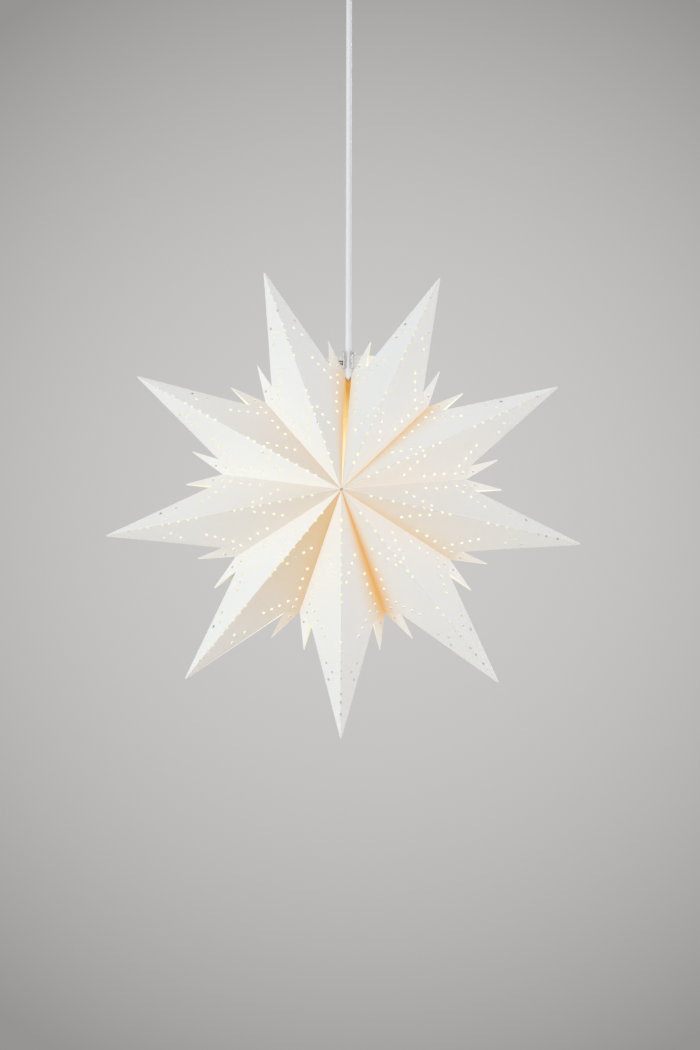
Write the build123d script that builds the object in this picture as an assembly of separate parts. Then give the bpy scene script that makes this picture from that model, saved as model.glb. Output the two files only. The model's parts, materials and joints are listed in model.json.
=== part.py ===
from build123d import *
import math
import os

# A folding paper star that hangs from the ceiling on its cord, with a lampholder and a bulb inside.
# Millimetres. +Z is up, the star's front faces -Y, and the cord hangs along the Z axis.
# The origin is at the ceiling, on the cord's line.

# ---------------------------------------------------------------- star paper
ARM_DIRECTIONS = (23.6, 62.9, 101.5, 140.3, 180.5, 220.7, 260.5, 300.2, 340.4)  # clockwise from the top
TIP_RADIUS = 244.0            # star's centre to the tip of an arm
TIP_WIDTH = 1.1               # blunt end of a tip
TIP_DEPTH = 0.5               # the ridge's end, in front of the middle plane
STAR_HALF_DEPTH = 70.0        # middle plane to the front or back apex
APEX_HOLE_RADIUS = 1.3        # hole that the sheets leave at each apex
VALLEY_RADIUS = 125.0         # star's centre to the end of a valley
NICK_RADIUS = 132.4           # star's centre to the nick between arm and spike
NICK_ANGLE = 13.9             # from the arm's middle line to the nick
SPIKE_RADIUS = 160.3          # star's centre to the tip of a spike
SPIKE_ANGLE = 13.8            # from the arm's middle line to the spike's tip
SPIKE_SPREAD = 3.0            # a spike's tip, in front of the middle plane
SPIKE_TIP_WIDTH = 0.8         # blunt end of a spike
PAPER = 0.6                   # paper thickness, measured along the star's axis
SHEET_GAP = 0.3               # between a front sheet and its back sheet where they meet
SEAM_OPENING = 3.3            # angle by which the two ends of the fan stay apart
GLUE_MARGIN = 6.0             # strip that two neighbouring sheets are glued by
GLUE_THICKNESS = 0.45         # paper thickness of that strip
GLUE_END_GAP = 3.0            # from the strip to the middle plane
FOLD_SKIN = 0.06              # paper left over the root of a glue strip

# ---------------------------------------------------------------- clearances
PIECE_GAP = 0.2               # between loose neighbours that nearly touch
FIT_GAP = 0.05                # around a shank or a stem in its seat
SCREW_GAP = 0.1               # around a thread or a screw that turns
POINT_GAP = 0.1               # from a set screw's point to the cord
CUT_OVERRUN = 1.0             # a cutter's length beyond what it cuts

# ---------------------------------------------------------------- hanging
STAR_CENTRE_Z = -590.0        # the star's centre below the ceiling
CORD_RADIUS = 3.0
CORD_CLEARANCE = 0.25         # around the cord in its bores
PIVOT_ROOM = 0.4              # between the cord's round head and the tail above it

# ---------------------------------------------------------------- hanger clip
CLIP_THICKNESS = 1.2
CLIP_LENGTH = 60.0
CLIP_HEIGHT = 10.6
CLIP_END_RADIUS = 5.2
CLIP_BOTTOM = 133.2           # the bar's lower edge above the star's centre
CLIP_HUB_RADIUS = 5.4
CLIP_HUB_BOTTOM = 131.0       # the hub's lower end above the star's centre
CLIP_HUB_HEIGHT = 17.0
CLIP_HUB_MOUTH = 5.2          # front opening that the cord snaps through
CLIP_WINDOW_LENGTH = 5.6
CLIP_WINDOW_HEIGHT = 1.2
CLIP_WINDOW_PITCH = 2.6
CLIP_WINDOW_START = 6.4       # from the cord's line to the windows
CLAMP_DROP = 2.0              # from the hub's top to the clamp screw
CLAMP_SHANK_RADIUS = 1.2
CLAMP_HEAD_RADIUS = 1.8
CLAMP_HEAD_LENGTH = 1.8

# ---------------------------------------------------------------- lampholder and bulb
HOLDER_TOP = 80.0             # end of the cap's neck above the star's centre
HOLDER_RADIUS = 14.0
HOLDER_WALL = 1.5
NECK_RADIUS = 5.5
NECK_HEIGHT = 7.0
SHOULDER_BEVEL = 2.5
CAP_ROOF = 3.0
CAP_HEIGHT = 26.0             # neck included
GRUB_PROUD = 0.5              # the grub screw's end outside the neck
SKIRT_HEIGHT = 20.0
SKIRT_COLLAR = 10.0           # part of the skirt that screws into the cap
CARRIER_THICKNESS = 5.5
CARRIER_LIP = 1.5             # ledge in the skirt that the carrier rests on
CARRIER_FIT = 0.1
HOLDER_LEAD_LENGTH = 4.0      # stripped leads between the cord's end and the carrier
SHELL_INNER_RADIUS = 7.1
SHELL_WALL = 0.4
SHELL_LENGTH = 17.0
CONTACT_THICKNESS = 0.4
CONTACT_DROP = 1.9            # the contact spring below the carrier
CONTACT_ROOT = -5.0           # its fixed end, from the cord's line
CONTACT_BEND = 1.5            # its lowest point, from the cord's line
CONTACT_END = 4.0             # its free end, from the cord's line
CONTACT_LIFT = 0.8            # rise of the free end
CONTACT_WIDTH = 4.0
BULB_CAP_RADIUS = 6.95
BULB_CAP_WALL = 0.3
BULB_CAP_LENGTH = 15.0
BULB_NOSE_HEIGHT = 4.5        # insulator and tip contact above the metal cap
BULB_TIP_RADIUS = 2.2
BULB_TIP_HEIGHT = 1.2
BULB_TIP_BEVEL = 0.6
INSULATOR_RADIUS = 3.2        # its upper end
INSULATOR_INSET = 0.6         # its rim inside the metal cap's edge
BULB_FOOT_HEIGHT = 14.0
BULB_FOOT_RIM = 0.8           # the foot's upper edge around the metal cap
BULB_FOOT_COLLAR = 3.0        # its straight part, that fits inside the skirt
BULB_SHOULDER = 5.0
GLOBE_RADIUS = 12.5
GLOBE_LENGTH = 60.0
GLOBE_BEVEL = 4.0

# ---------------------------------------------------------------- ceiling fitting
CUP_RADIUS = 48.0
CUP_HEIGHT = 44.0
CUP_BEVEL = 2.0               # corner between wall and floor
CUP_WALL = 1.6
BRACKET_END_ROOM = 0.7        # from the bracket's corners to the cup's wall
BRACKET_WIDTH = 16.0
BRACKET_SHEET = 1.5
BRACKET_EAR = 13.0
SCREW_SPACING = 60.0          # between the two ceiling screws
SLOT_LENGTH = 10.0
SLOT_WIDTH = 4.5
WINDOW_LENGTH = 26.0
WINDOW_WIDTH = 9.0
TAB_WIDTH = 14.0
TAB_HEIGHT = 17.0
M3_RADIUS = 1.45
M3_HOLE_RADIUS = 1.5
M3_HEAD_RADIUS = 2.8
M3_HEAD_LENGTH = 1.8
CUP_SCREW_DROP = 8.0
CUP_SCREW_REACH = 1.0         # the screw's end inside the bracket's ear
BLOCK_SCREW_REACH = 0.5       # the fixing screw's end behind the tab
BLOCK_LENGTH = 20.0
BLOCK_DEPTH = 12.0
BLOCK_HEIGHT = 12.0
BLOCK_TOP = -3.0
POLE_SPACING = 10.0
INSERT_RADIUS = 2.25
INSERT_BORE_RADIUS = 1.5
INSERT_LENGTH = 10.0
POLE_SCREW_RADIUS = 1.2
POLE_SCREW_PITCH = 5.6
POLE_SCREW_SINK = 0.3         # the screws' heads below the block's face
LEAD_RADIUS = 1.0
LEAD_SPACING = 2.6
LEAD_STRAIGHT = 3.0           # straight ends of a lead, and its length inside the block
TAIL_TOP = -26.0
GRIP_STEM_RADIUS = 5.0
GRIP_STEM_PROUD = 1.0         # the stem's end above its lock nut
GRIP_FLANGE_RADIUS = 8.0
GRIP_FLANGE = 3.0
GRIP_THREAD_RADIUS = 6.0
GRIP_THREAD_LENGTH = 11.4
LOCKNUT_HEIGHT = 4.0
LOCKNUT_RADIUS = 8.2
NUT_RADIUS = 8.5
NUT_BEVEL = 1.0
NUT_MOUTH_RADIUS = 5.0
NUT_MOUTH_FLARE = 1.3         # the mouth widens downwards, where the cord swings
NUT_LIP = 1.1
SEAL_RADIUS = 4.5             # middle of the rubber ring's section
SEAL_HALF_WIDTH = 0.85
SEAL_HALF_HEIGHT = 0.6
SEAL_ROOM_ABOVE = 3.2         # free height above the ring's middle, where it tilts
SEAL_ROOM_BELOW = 2.8

FRONT = (0, -1, 0)


# ---------------------------------------------------------------- helpers
def turned(*corners):
    """Solid of revolution about the Z axis, from the (radius, height) corners of its half section."""
    return revolve(make_face(Plane.XZ * Polyline(*corners, close=True)), Axis.Z)


def rod(radius, length, centre, axis=(0, 0, 1)):
    """Round bar about a point, along an axis."""
    return Plane(origin=centre, z_dir=axis) * Cylinder(radius, length)


def bar(low, high):
    """Box between two opposite corners."""
    size = [top - bottom for bottom, top in zip(low, high)]
    middle = [(top + bottom) / 2 for bottom, top in zip(low, high)]
    return Pos(*middle) * Box(*size)


# ---------------------------------------------------------------- star
seam_direction = (ARM_DIRECTIONS[0] + ARM_DIRECTIONS[-1] - 360) / 2
star_x = -VALLEY_RADIUS * math.sin(math.radians(seam_direction))
star_place = Pos(star_x, 0, STAR_CENTRE_Z)


def spot(radius, angle):
    """Place in the star's middle plane: radius from its centre, angle clockwise from the top."""
    turn = math.radians(angle)
    return Vector(radius * math.sin(turn), 0, radius * math.cos(turn))


def lifted(place, depth):
    """The place moved forward to the inner side of a front sheet, at a depth from the middle plane."""
    return Vector(place.X, -depth - SHEET_GAP / 2, place.Z)


def on_facet(place, tip, valley):
    """Lift a place onto the flat facet that runs through the apex, the ridge's end and the valley's end."""
    span = tip.cross(valley).Y
    ridge_share = place.cross(valley).Y / span
    valley_share = tip.cross(place).Y / span
    depth = STAR_HALF_DEPTH * (1 - ridge_share - valley_share) + TIP_DEPTH * ridge_share
    return lifted(place, depth)


def paper(*corners):
    """Flat piece of paper between corners in one plane, thickened forward along the star's axis."""
    return extrude(Face(Wire.make_polygon(corners)), PAPER, dir=FRONT)


def glue_strip(valley_angle, side):
    """Margin that stands inward along the valley, face to face with the next sheet's margin."""
    slope = STAR_HALF_DEPTH / VALLEY_RADIUS
    inner_end = APEX_HOLE_RADIUS + GLUE_THICKNESS / math.tan(math.radians(NICK_ANGLE))
    outer_end = VALLEY_RADIUS - (GLUE_MARGIN * (1 - slope) + GLUE_END_GAP) / slope
    root = PAPER - FOLD_SKIN

    def corner(radius, below):
        return lifted(spot(radius, valley_angle), slope * (VALLEY_RADIUS - radius) - below)

    outline = Wire.make_polygon(
        [
            corner(inner_end, -root),
            corner(outer_end, -root),
            corner(outer_end - GLUE_MARGIN, GLUE_MARGIN),
            corner(inner_end + GLUE_MARGIN, GLUE_MARGIN),
        ]
    )
    own_side = spot(-side, valley_angle + 90)
    return extrude(Face(outline), GLUE_THICKNESS, dir=own_side)


def half_sheet(ridge_angle, valley_angle, side):
    """One facet with its spike and its glue strip; side is -1 before the ridge and 1 after it, clockwise."""
    tip = spot(TIP_RADIUS, ridge_angle)
    valley = spot(VALLEY_RADIUS, valley_angle)
    tip_edge = tip + spot(side * TIP_WIDTH / 2, ridge_angle + 90)
    ridge_start = on_facet(spot(APEX_HOLE_RADIUS, ridge_angle), tip, valley)
    valley_start = on_facet(spot(APEX_HOLE_RADIUS, valley_angle), tip, valley)
    valley_end = on_facet(valley, tip, valley)
    nick = on_facet(spot(NICK_RADIUS, ridge_angle + side * NICK_ANGLE), tip, valley)
    tip_side = on_facet(tip_edge, tip, valley)
    ridge_end = on_facet(tip, tip, valley)
    facet = paper(ridge_start, valley_start, valley_end, nick, tip_side, ridge_end)

    spike_tip = lifted(spot(SPIKE_RADIUS, ridge_angle + side * SPIKE_ANGLE), SPIKE_SPREAD)
    half_end = (valley_end - nick).normalized() * (SPIKE_TIP_WIDTH / 2)
    spike = paper(valley_end, spike_tip + half_end, spike_tip - half_end, nick)
    return facet + spike + glue_strip(valley_angle, side)


def star_sheets():
    """The nine front sheets and nine back sheets, each folded on its ridge."""
    sheets = {}
    count = len(ARM_DIRECTIONS)
    for index, ridge_angle in enumerate(ARM_DIRECTIONS):
        before = seam_direction + SEAM_OPENING / 2
        if index > 0:
            before = (ARM_DIRECTIONS[index - 1] + ridge_angle) / 2
        after = seam_direction + 360 - SEAM_OPENING / 2
        if index < count - 1:
            after = (ridge_angle + ARM_DIRECTIONS[index + 1]) / 2
        sheet = half_sheet(ridge_angle, before, -1) + half_sheet(ridge_angle, after, 1)
        sheets[f"arm_{index + 1}_front"] = star_place * sheet
        sheets[f"arm_{index + 1}_back"] = star_place * mirror(sheet, Plane.XZ)
    return sheets


# ---------------------------------------------------------------- hanger clip
def hanger_clip():
    """Clear bar across the seam, with a split hub that grips the cord from behind."""
    bar_middle = CLIP_BOTTOM + CLIP_HEIGHT / 2
    outline = Pos(0, bar_middle) * RectangleRounded(CLIP_LENGTH, CLIP_HEIGHT, CLIP_END_RADIUS)
    for row in range(2):
        window_x = -CLIP_WINDOW_START - CLIP_WINDOW_LENGTH / 2
        window_y = CLIP_BOTTOM + CLIP_WINDOW_HEIGHT + row * CLIP_WINDOW_PITCH
        outline -= Pos(window_x, window_y) * Rectangle(CLIP_WINDOW_LENGTH, CLIP_WINDOW_HEIGHT)
    plate = extrude(Plane.XZ * outline, CLIP_THICKNESS / 2, both=True)
    hub_middle = (0, 0, CLIP_HUB_BOTTOM + CLIP_HUB_HEIGHT / 2)
    clip = plate + rod(CLIP_HUB_RADIUS, CLIP_HUB_HEIGHT, hub_middle)
    clip -= rod(CORD_RADIUS + CORD_CLEARANCE, CLIP_HUB_HEIGHT + CUT_OVERRUN, hub_middle)
    half_mouth = CLIP_HUB_MOUTH / 2
    mouth_bottom = CLIP_HUB_BOTTOM - CUT_OVERRUN
    mouth_top = CLIP_HUB_BOTTOM + CLIP_HUB_HEIGHT + CUT_OVERRUN
    clip -= bar((-half_mouth, -2 * CLIP_HUB_RADIUS, mouth_bottom), (half_mouth, 0, mouth_top))
    clip -= clamp_rod(CLAMP_SHANK_RADIUS + FIT_GAP, 0, 2 * CLIP_HUB_RADIUS)
    return Pos(0, 0, STAR_CENTRE_Z) * clip


def clamp_rod(radius, start, end):
    """Round bar on the clamp screw's axis, between two distances from the cord's line."""
    height = CLIP_HUB_BOTTOM + CLIP_HUB_HEIGHT - CLAMP_DROP
    return rod(radius, end - start, ((start + end) / 2, 0, height), (1, 0, 0))


def clamp_screw():
    """White screw whose point presses on the cord and whose round head stands beside the hub."""
    head_start = CLIP_HUB_RADIUS + PIECE_GAP
    screw = clamp_rod(CLAMP_SHANK_RADIUS, CORD_RADIUS + POINT_GAP, head_start)
    screw += clamp_rod(CLAMP_HEAD_RADIUS, head_start, head_start + CLAMP_HEAD_LENGTH)
    return Pos(0, 0, STAR_CENTRE_Z) * screw


# ---------------------------------------------------------------- lampholder and bulb
cap_bottom = HOLDER_TOP - CAP_HEIGHT
neck_bottom = HOLDER_TOP - NECK_HEIGHT
roof_bottom = neck_bottom - CAP_ROOF
cap_inner_radius = HOLDER_RADIUS - HOLDER_WALL
cord_bore = CORD_RADIUS + CORD_CLEARANCE
skirt_top = cap_bottom + SKIRT_COLLAR
skirt_bottom = cap_bottom - SKIRT_HEIGHT
skirt_inner_radius = cap_inner_radius - HOLDER_WALL
carrier_top = skirt_top
carrier_bottom = carrier_top - CARRIER_THICKNESS
bulb_top = carrier_bottom - CONTACT_DROP - CONTACT_THICKNESS - PIECE_GAP
insulator_top = bulb_top - BULB_TIP_HEIGHT
bulb_cap_top = bulb_top - BULB_NOSE_HEIGHT
bulb_cap_bottom = bulb_cap_top - BULB_CAP_LENGTH
foot_bottom = bulb_cap_bottom - BULB_FOOT_HEIGHT
cord_end = carrier_top + HOLDER_LEAD_LENGTH


def lampholder():
    """Cap, skirt, contact carrier, threaded sleeve and centre contact, on the cord's end."""
    cap = turned(
        (cord_bore, HOLDER_TOP),
        (NECK_RADIUS, HOLDER_TOP),
        (NECK_RADIUS, neck_bottom),
        (HOLDER_RADIUS - SHOULDER_BEVEL, neck_bottom),
        (HOLDER_RADIUS, neck_bottom - SHOULDER_BEVEL),
        (HOLDER_RADIUS, cap_bottom),
        (cap_inner_radius, cap_bottom),
        (cap_inner_radius, roof_bottom),
        (cord_bore, roof_bottom),
    )
    grub_height = HOLDER_TOP - NECK_HEIGHT / 2
    grub_start = CORD_RADIUS + POINT_GAP
    grub_end = NECK_RADIUS + GRUB_PROUD
    grub_middle = ((grub_start + grub_end) / 2, 0, grub_height)
    cap -= rod(M3_HOLE_RADIUS, NECK_RADIUS, (NECK_RADIUS / 2 + CORD_RADIUS, 0, grub_height), (1, 0, 0))
    ledge_radius = skirt_inner_radius - CARRIER_LIP
    body = turned(
        (ledge_radius, skirt_bottom),
        (HOLDER_RADIUS, skirt_bottom),
        (HOLDER_RADIUS, cap_bottom - PIECE_GAP),
        (cap_inner_radius - PIECE_GAP, cap_bottom - PIECE_GAP),
        (cap_inner_radius - PIECE_GAP, skirt_top),
        (skirt_inner_radius, skirt_top),
        (skirt_inner_radius, carrier_bottom),
        (ledge_radius, carrier_bottom),
    )
    carrier_middle = (0, 0, carrier_top - CARRIER_THICKNESS / 2)
    carrier = rod(skirt_inner_radius - CARRIER_FIT, CARRIER_THICKNESS, carrier_middle)
    shell_outer = SHELL_INNER_RADIUS + SHELL_WALL
    shell = turned(
        (SHELL_INNER_RADIUS, carrier_bottom),
        (shell_outer, carrier_bottom),
        (shell_outer, carrier_bottom - SHELL_LENGTH),
        (SHELL_INNER_RADIUS, carrier_bottom - SHELL_LENGTH),
    )
    contact_low = carrier_bottom - CONTACT_DROP
    blade = Polyline(
        (CONTACT_ROOT, carrier_bottom),
        (CONTACT_BEND, contact_low),
        (CONTACT_END, contact_low + CONTACT_LIFT),
        (CONTACT_END, contact_low + CONTACT_LIFT - CONTACT_THICKNESS),
        (CONTACT_BEND, contact_low - CONTACT_THICKNESS),
        (CONTACT_ROOT, carrier_bottom - CONTACT_THICKNESS),
        close=True,
    )
    contact = extrude(make_face(Plane.XZ * blade), CONTACT_WIDTH / 2, both=True)
    leads = [
        rod(LEAD_RADIUS, cord_end - carrier_top, (x, 0, (cord_end + carrier_top) / 2))
        for x in (-LEAD_SPACING / 2, LEAD_SPACING / 2)
    ]
    return {
        "holder_cap": cap,
        "holder_grub_screw": rod(M3_RADIUS, grub_end - grub_start, grub_middle, (1, 0, 0)),
        "holder_body": body,
        "contact_carrier": carrier,
        "screw_shell": shell,
        "centre_contact": contact,
        "holder_leads": Compound(children=leads),
    }


def bulb():
    """Small tubular bulb: screw cap, insulator, tip contact, plastic foot and opal globe."""
    tip = turned(
        (0, bulb_top),
        (BULB_TIP_RADIUS - BULB_TIP_BEVEL, bulb_top),
        (BULB_TIP_RADIUS, bulb_top - BULB_TIP_BEVEL),
        (BULB_TIP_RADIUS, insulator_top),
        (0, insulator_top),
    )
    insulator = turned(
        (0, insulator_top),
        (INSULATOR_RADIUS, insulator_top),
        (BULB_CAP_RADIUS - INSULATOR_INSET, bulb_cap_top),
        (0, bulb_cap_top),
    )
    cap = turned(
        (BULB_CAP_RADIUS - BULB_CAP_WALL, bulb_cap_top),
        (BULB_CAP_RADIUS, bulb_cap_top),
        (BULB_CAP_RADIUS, bulb_cap_bottom),
        (BULB_CAP_RADIUS - BULB_CAP_WALL, bulb_cap_bottom),
    )
    stem_radius = BULB_CAP_RADIUS - BULB_CAP_WALL - FIT_GAP
    collar_bottom = bulb_cap_bottom - BULB_FOOT_COLLAR
    foot = turned(
        (0, bulb_cap_top),
        (stem_radius, bulb_cap_top),
        (stem_radius, bulb_cap_bottom),
        (BULB_CAP_RADIUS + BULB_FOOT_RIM, bulb_cap_bottom),
        (BULB_CAP_RADIUS + BULB_FOOT_RIM, collar_bottom),
        (GLOBE_RADIUS, collar_bottom - BULB_SHOULDER),
        (GLOBE_RADIUS, foot_bottom),
        (0, foot_bottom),
    )
    globe_end = foot_bottom - GLOBE_LENGTH
    globe = turned(
        (0, foot_bottom),
        (GLOBE_RADIUS, foot_bottom),
        (GLOBE_RADIUS, globe_end + GLOBE_BEVEL),
        (GLOBE_RADIUS - GLOBE_BEVEL, globe_end),
        (0, globe_end),
    )
    return {
        "bulb_tip": tip,
        "bulb_insulator": insulator,
        "bulb_cap": cap,
        "bulb_foot": foot,
        "bulb_globe": globe,
    }


# ---------------------------------------------------------------- ceiling fitting
grip_top = -CUP_HEIGHT                      # the flange's upper face, under the cup's floor
flange_bottom = grip_top - GRIP_FLANGE
thread_bottom = flange_bottom - GRIP_THREAD_LENGTH
swing_z = thread_bottom - SEAL_ROOM_ABOVE   # point that the cord swings about
nut_top = flange_bottom - PIECE_GAP
nut_bottom = swing_z - SEAL_ROOM_BELOW - NUT_LIP
tail_bottom = swing_z + CORD_RADIUS + PIVOT_ROOM
block_middle = BLOCK_TOP - BLOCK_HEIGHT / 2
tab_front = BRACKET_WIDTH / 2 - BRACKET_SHEET
block_back = tab_front
block_front = block_back - BLOCK_DEPTH
block_bottom = BLOCK_TOP - BLOCK_HEIGHT
pole_y = (block_front + block_back) / 2
cup_inner_radius = CUP_RADIUS - CUP_WALL
bracket_end = math.sqrt(cup_inner_radius**2 - (BRACKET_WIDTH / 2) ** 2) - BRACKET_END_ROOM


def ceiling_bracket():
    """Steel strip with two slots for the ceiling, a window for the supply, two ears and a tab."""
    half_width = BRACKET_WIDTH / 2
    ear_inside = bracket_end - BRACKET_SHEET
    plan = Rectangle(2 * bracket_end, BRACKET_WIDTH) - Rectangle(WINDOW_LENGTH, WINDOW_WIDTH)
    for x in (-SCREW_SPACING / 2, SCREW_SPACING / 2):
        plan -= Pos(x, 0) * SlotOverall(SLOT_LENGTH, SLOT_WIDTH)
    bracket = extrude(plan, -BRACKET_SHEET)
    bracket += bar((-bracket_end, -half_width, -BRACKET_EAR), (-ear_inside, half_width, 0))
    bracket += bar((ear_inside, -half_width, -BRACKET_EAR), (bracket_end, half_width, 0))
    bracket += bar((-TAB_WIDTH / 2, tab_front, -TAB_HEIGHT), (TAB_WIDTH / 2, half_width, 0))
    bracket -= rod(M3_HOLE_RADIUS, 2 * CUP_RADIUS, (0, 0, -CUP_SCREW_DROP), (1, 0, 0))
    bracket -= rod(M3_HOLE_RADIUS, BRACKET_WIDTH, (0, half_width, block_middle), (0, 1, 0))
    return bracket


def ceiling_cup():
    """Plastic cup, open to the ceiling, with a hole in its floor and two screw holes in its rim."""
    cup = turned(
        (CUP_RADIUS, 0),
        (CUP_RADIUS, -CUP_HEIGHT + CUP_BEVEL),
        (CUP_RADIUS - CUP_BEVEL, -CUP_HEIGHT),
        (GRIP_STEM_RADIUS + PIECE_GAP, -CUP_HEIGHT),
        (GRIP_STEM_RADIUS + PIECE_GAP, -CUP_HEIGHT + CUP_WALL),
        (cup_inner_radius, -CUP_HEIGHT + CUP_WALL),
        (cup_inner_radius, 0),
    )
    hole_length = 2 * (CUP_RADIUS + CUT_OVERRUN)
    return cup - rod(M3_HOLE_RADIUS + PIECE_GAP, hole_length, (0, 0, -CUP_SCREW_DROP), (1, 0, 0))


def cup_screws():
    """Two pan-head screws through the cup's rim into the bracket's ears."""
    screws = []
    for side in (-1, 1):
        shank_start = bracket_end - BRACKET_SHEET - CUP_SCREW_REACH
        head_start = CUP_RADIUS + FIT_GAP
        shank_middle = side * (shank_start + head_start) / 2
        head_middle = side * (head_start + M3_HEAD_LENGTH / 2)
        shank = rod(M3_RADIUS, head_start - shank_start, (shank_middle, 0, -CUP_SCREW_DROP), (1, 0, 0))
        head = rod(M3_HEAD_RADIUS, M3_HEAD_LENGTH, (head_middle, 0, -CUP_SCREW_DROP), (1, 0, 0))
        screws.append(shank + head)
    return Compound(children=[screw.solid() for screw in screws])


def terminal_set():
    """Two-pole terminal block on the bracket's tab, with its inserts, pole screws and fixing screw."""
    half_length = BLOCK_LENGTH / 2
    block = bar((-half_length, block_front, block_bottom), (half_length, block_back, BLOCK_TOP))
    inserts = []
    pole_screws = []
    screw_tip = pole_y - INSERT_RADIUS - FIT_GAP
    screw_head = block_front + POLE_SCREW_SINK
    for x in (-POLE_SPACING / 2, POLE_SPACING / 2):
        middle = (x, pole_y, block_middle)
        block -= rod(INSERT_RADIUS + FIT_GAP, BLOCK_HEIGHT + CUT_OVERRUN, middle)
        insert = rod(INSERT_RADIUS, INSERT_LENGTH, middle)
        insert -= rod(INSERT_BORE_RADIUS, INSERT_LENGTH + CUT_OVERRUN, middle)
        inserts.append(insert.solid())
        for z in (block_middle - POLE_SCREW_PITCH / 2, block_middle + POLE_SCREW_PITCH / 2):
            block -= rod(POLE_SCREW_RADIUS + SCREW_GAP, BLOCK_DEPTH, (x, block_front, z), (0, 1, 0))
            screw_middle = (x, (screw_head + screw_tip) / 2, z)
            pole_screws.append(rod(POLE_SCREW_RADIUS, screw_tip - screw_head, screw_middle, (0, 1, 0)))
    block -= rod(M3_HOLE_RADIUS + SCREW_GAP, 2 * BLOCK_DEPTH, (0, pole_y, block_middle), (0, 1, 0))
    head_back = block_front - FIT_GAP
    shank_end = BRACKET_WIDTH / 2 + BLOCK_SCREW_REACH
    shank_middle = (0, (head_back + shank_end) / 2, block_middle)
    fixing = rod(M3_RADIUS, shank_end - head_back, shank_middle, (0, 1, 0))
    head_middle = (0, head_back - M3_HEAD_LENGTH / 2, block_middle)
    fixing += rod(M3_HEAD_RADIUS, M3_HEAD_LENGTH, head_middle, (0, 1, 0))
    return {
        "terminal_block": block,
        "terminal_inserts": Compound(children=inserts),
        "terminal_screws": Compound(children=pole_screws),
        "block_screw": fixing,
    }


def tail_leads():
    """The cord's two inner leads, from its stripped end up into the terminal block."""
    leads = []
    for side in (-1, 1):
        start_x = side * LEAD_SPACING / 2
        end_x = side * POLE_SPACING / 2
        path = Polyline(
            (start_x, 0, TAIL_TOP),
            (start_x, 0, TAIL_TOP + LEAD_STRAIGHT),
            (end_x, pole_y, block_bottom - LEAD_STRAIGHT),
            (end_x, pole_y, block_bottom + LEAD_STRAIGHT),
        )
        section = Plane(origin=path @ 0, z_dir=path % 0) * Circle(LEAD_RADIUS)
        leads.append(sweep(section, path, transition=Transition.RIGHT).solid())
    return Compound(children=leads)


def cord_grip():
    """Grip body through the cup's floor, its lock nut, its clamping nut and its rubber ring."""
    stem_top = -CUP_HEIGHT + CUP_WALL + LOCKNUT_HEIGHT + GRIP_STEM_PROUD
    body = turned(
        (cord_bore, stem_top),
        (GRIP_STEM_RADIUS, stem_top),
        (GRIP_STEM_RADIUS, grip_top),
        (GRIP_FLANGE_RADIUS, grip_top),
        (GRIP_FLANGE_RADIUS, flange_bottom),
        (GRIP_THREAD_RADIUS, flange_bottom),
        (GRIP_THREAD_RADIUS, thread_bottom),
        (cord_bore, thread_bottom),
    )
    locknut_floor = Plane.XY.offset(-CUP_HEIGHT + CUP_WALL)
    locknut_outline = RegularPolygon(LOCKNUT_RADIUS, 6) - Circle(GRIP_STEM_RADIUS + FIT_GAP)
    locknut = extrude(locknut_floor * locknut_outline, LOCKNUT_HEIGHT)
    thread_bore = GRIP_THREAD_RADIUS + SCREW_GAP
    nut = turned(
        (thread_bore, nut_top),
        (NUT_RADIUS, nut_top),
        (NUT_RADIUS, nut_bottom + NUT_BEVEL),
        (NUT_RADIUS - NUT_BEVEL, nut_bottom),
        (NUT_MOUTH_RADIUS + NUT_MOUTH_FLARE, nut_bottom),
        (NUT_MOUTH_RADIUS, nut_bottom + NUT_LIP),
        (thread_bore, nut_bottom + NUT_LIP),
    )
    seal = turned(
        (SEAL_RADIUS - SEAL_HALF_WIDTH, swing_z - SEAL_HALF_HEIGHT),
        (SEAL_RADIUS + SEAL_HALF_WIDTH, swing_z - SEAL_HALF_HEIGHT),
        (SEAL_RADIUS + SEAL_HALF_WIDTH, swing_z + SEAL_HALF_HEIGHT),
        (SEAL_RADIUS - SEAL_HALF_WIDTH, swing_z + SEAL_HALF_HEIGHT),
    )
    return {"grip_body": body, "grip_locknut": locknut, "grip_nut": nut, "grip_seal": seal}


# ---------------------------------------------------------------- cord
def cord():
    """The straight hanging cord, with a round head that it swings on, down into the lampholder."""
    bottom = STAR_CENTRE_Z + cord_end
    length = swing_z - bottom
    return rod(CORD_RADIUS, length, (0, 0, bottom + length / 2)) + Pos(0, 0, swing_z) * Sphere(CORD_RADIUS)


def cord_tail():
    """The end of the cord inside the cup, from the grip up to its stripped end."""
    length = TAIL_TOP - tail_bottom
    return rod(CORD_RADIUS, length, (0, 0, tail_bottom + length / 2))


# ---------------------------------------------------------------- assembly
hanging = Pos(0, 0, STAR_CENTRE_Z)
nodes = {
    "ceiling_bracket": ceiling_bracket(),
    "ceiling_cup": ceiling_cup(),
    "cup_screws": cup_screws(),
    "tail_leads": tail_leads(),
    "cord_tail": cord_tail(),
    "cord": cord(),
    "hanger_clip": hanger_clip(),
    "clamp_screw": clamp_screw(),
}
nodes.update(terminal_set())
nodes.update(cord_grip())
nodes.update({name: hanging * piece for name, piece in {**lampholder(), **bulb()}.items()})
nodes.update(star_sheets())

os.makedirs("parts", exist_ok=True)
for name, piece in nodes.items():
    export_step(piece, f"parts/{name}.step")
print(f"{len(nodes)} pieces, swing point at {swing_z:.1f}, lowest ceiling piece at {nut_bottom:.1f}")
print(f"star centre x {star_x:.3f}, bulb top {STAR_CENTRE_Z + bulb_top:.2f}, globe end",
      f"{STAR_CENTRE_Z + foot_bottom - GLOBE_LENGTH:.2f}")
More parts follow.
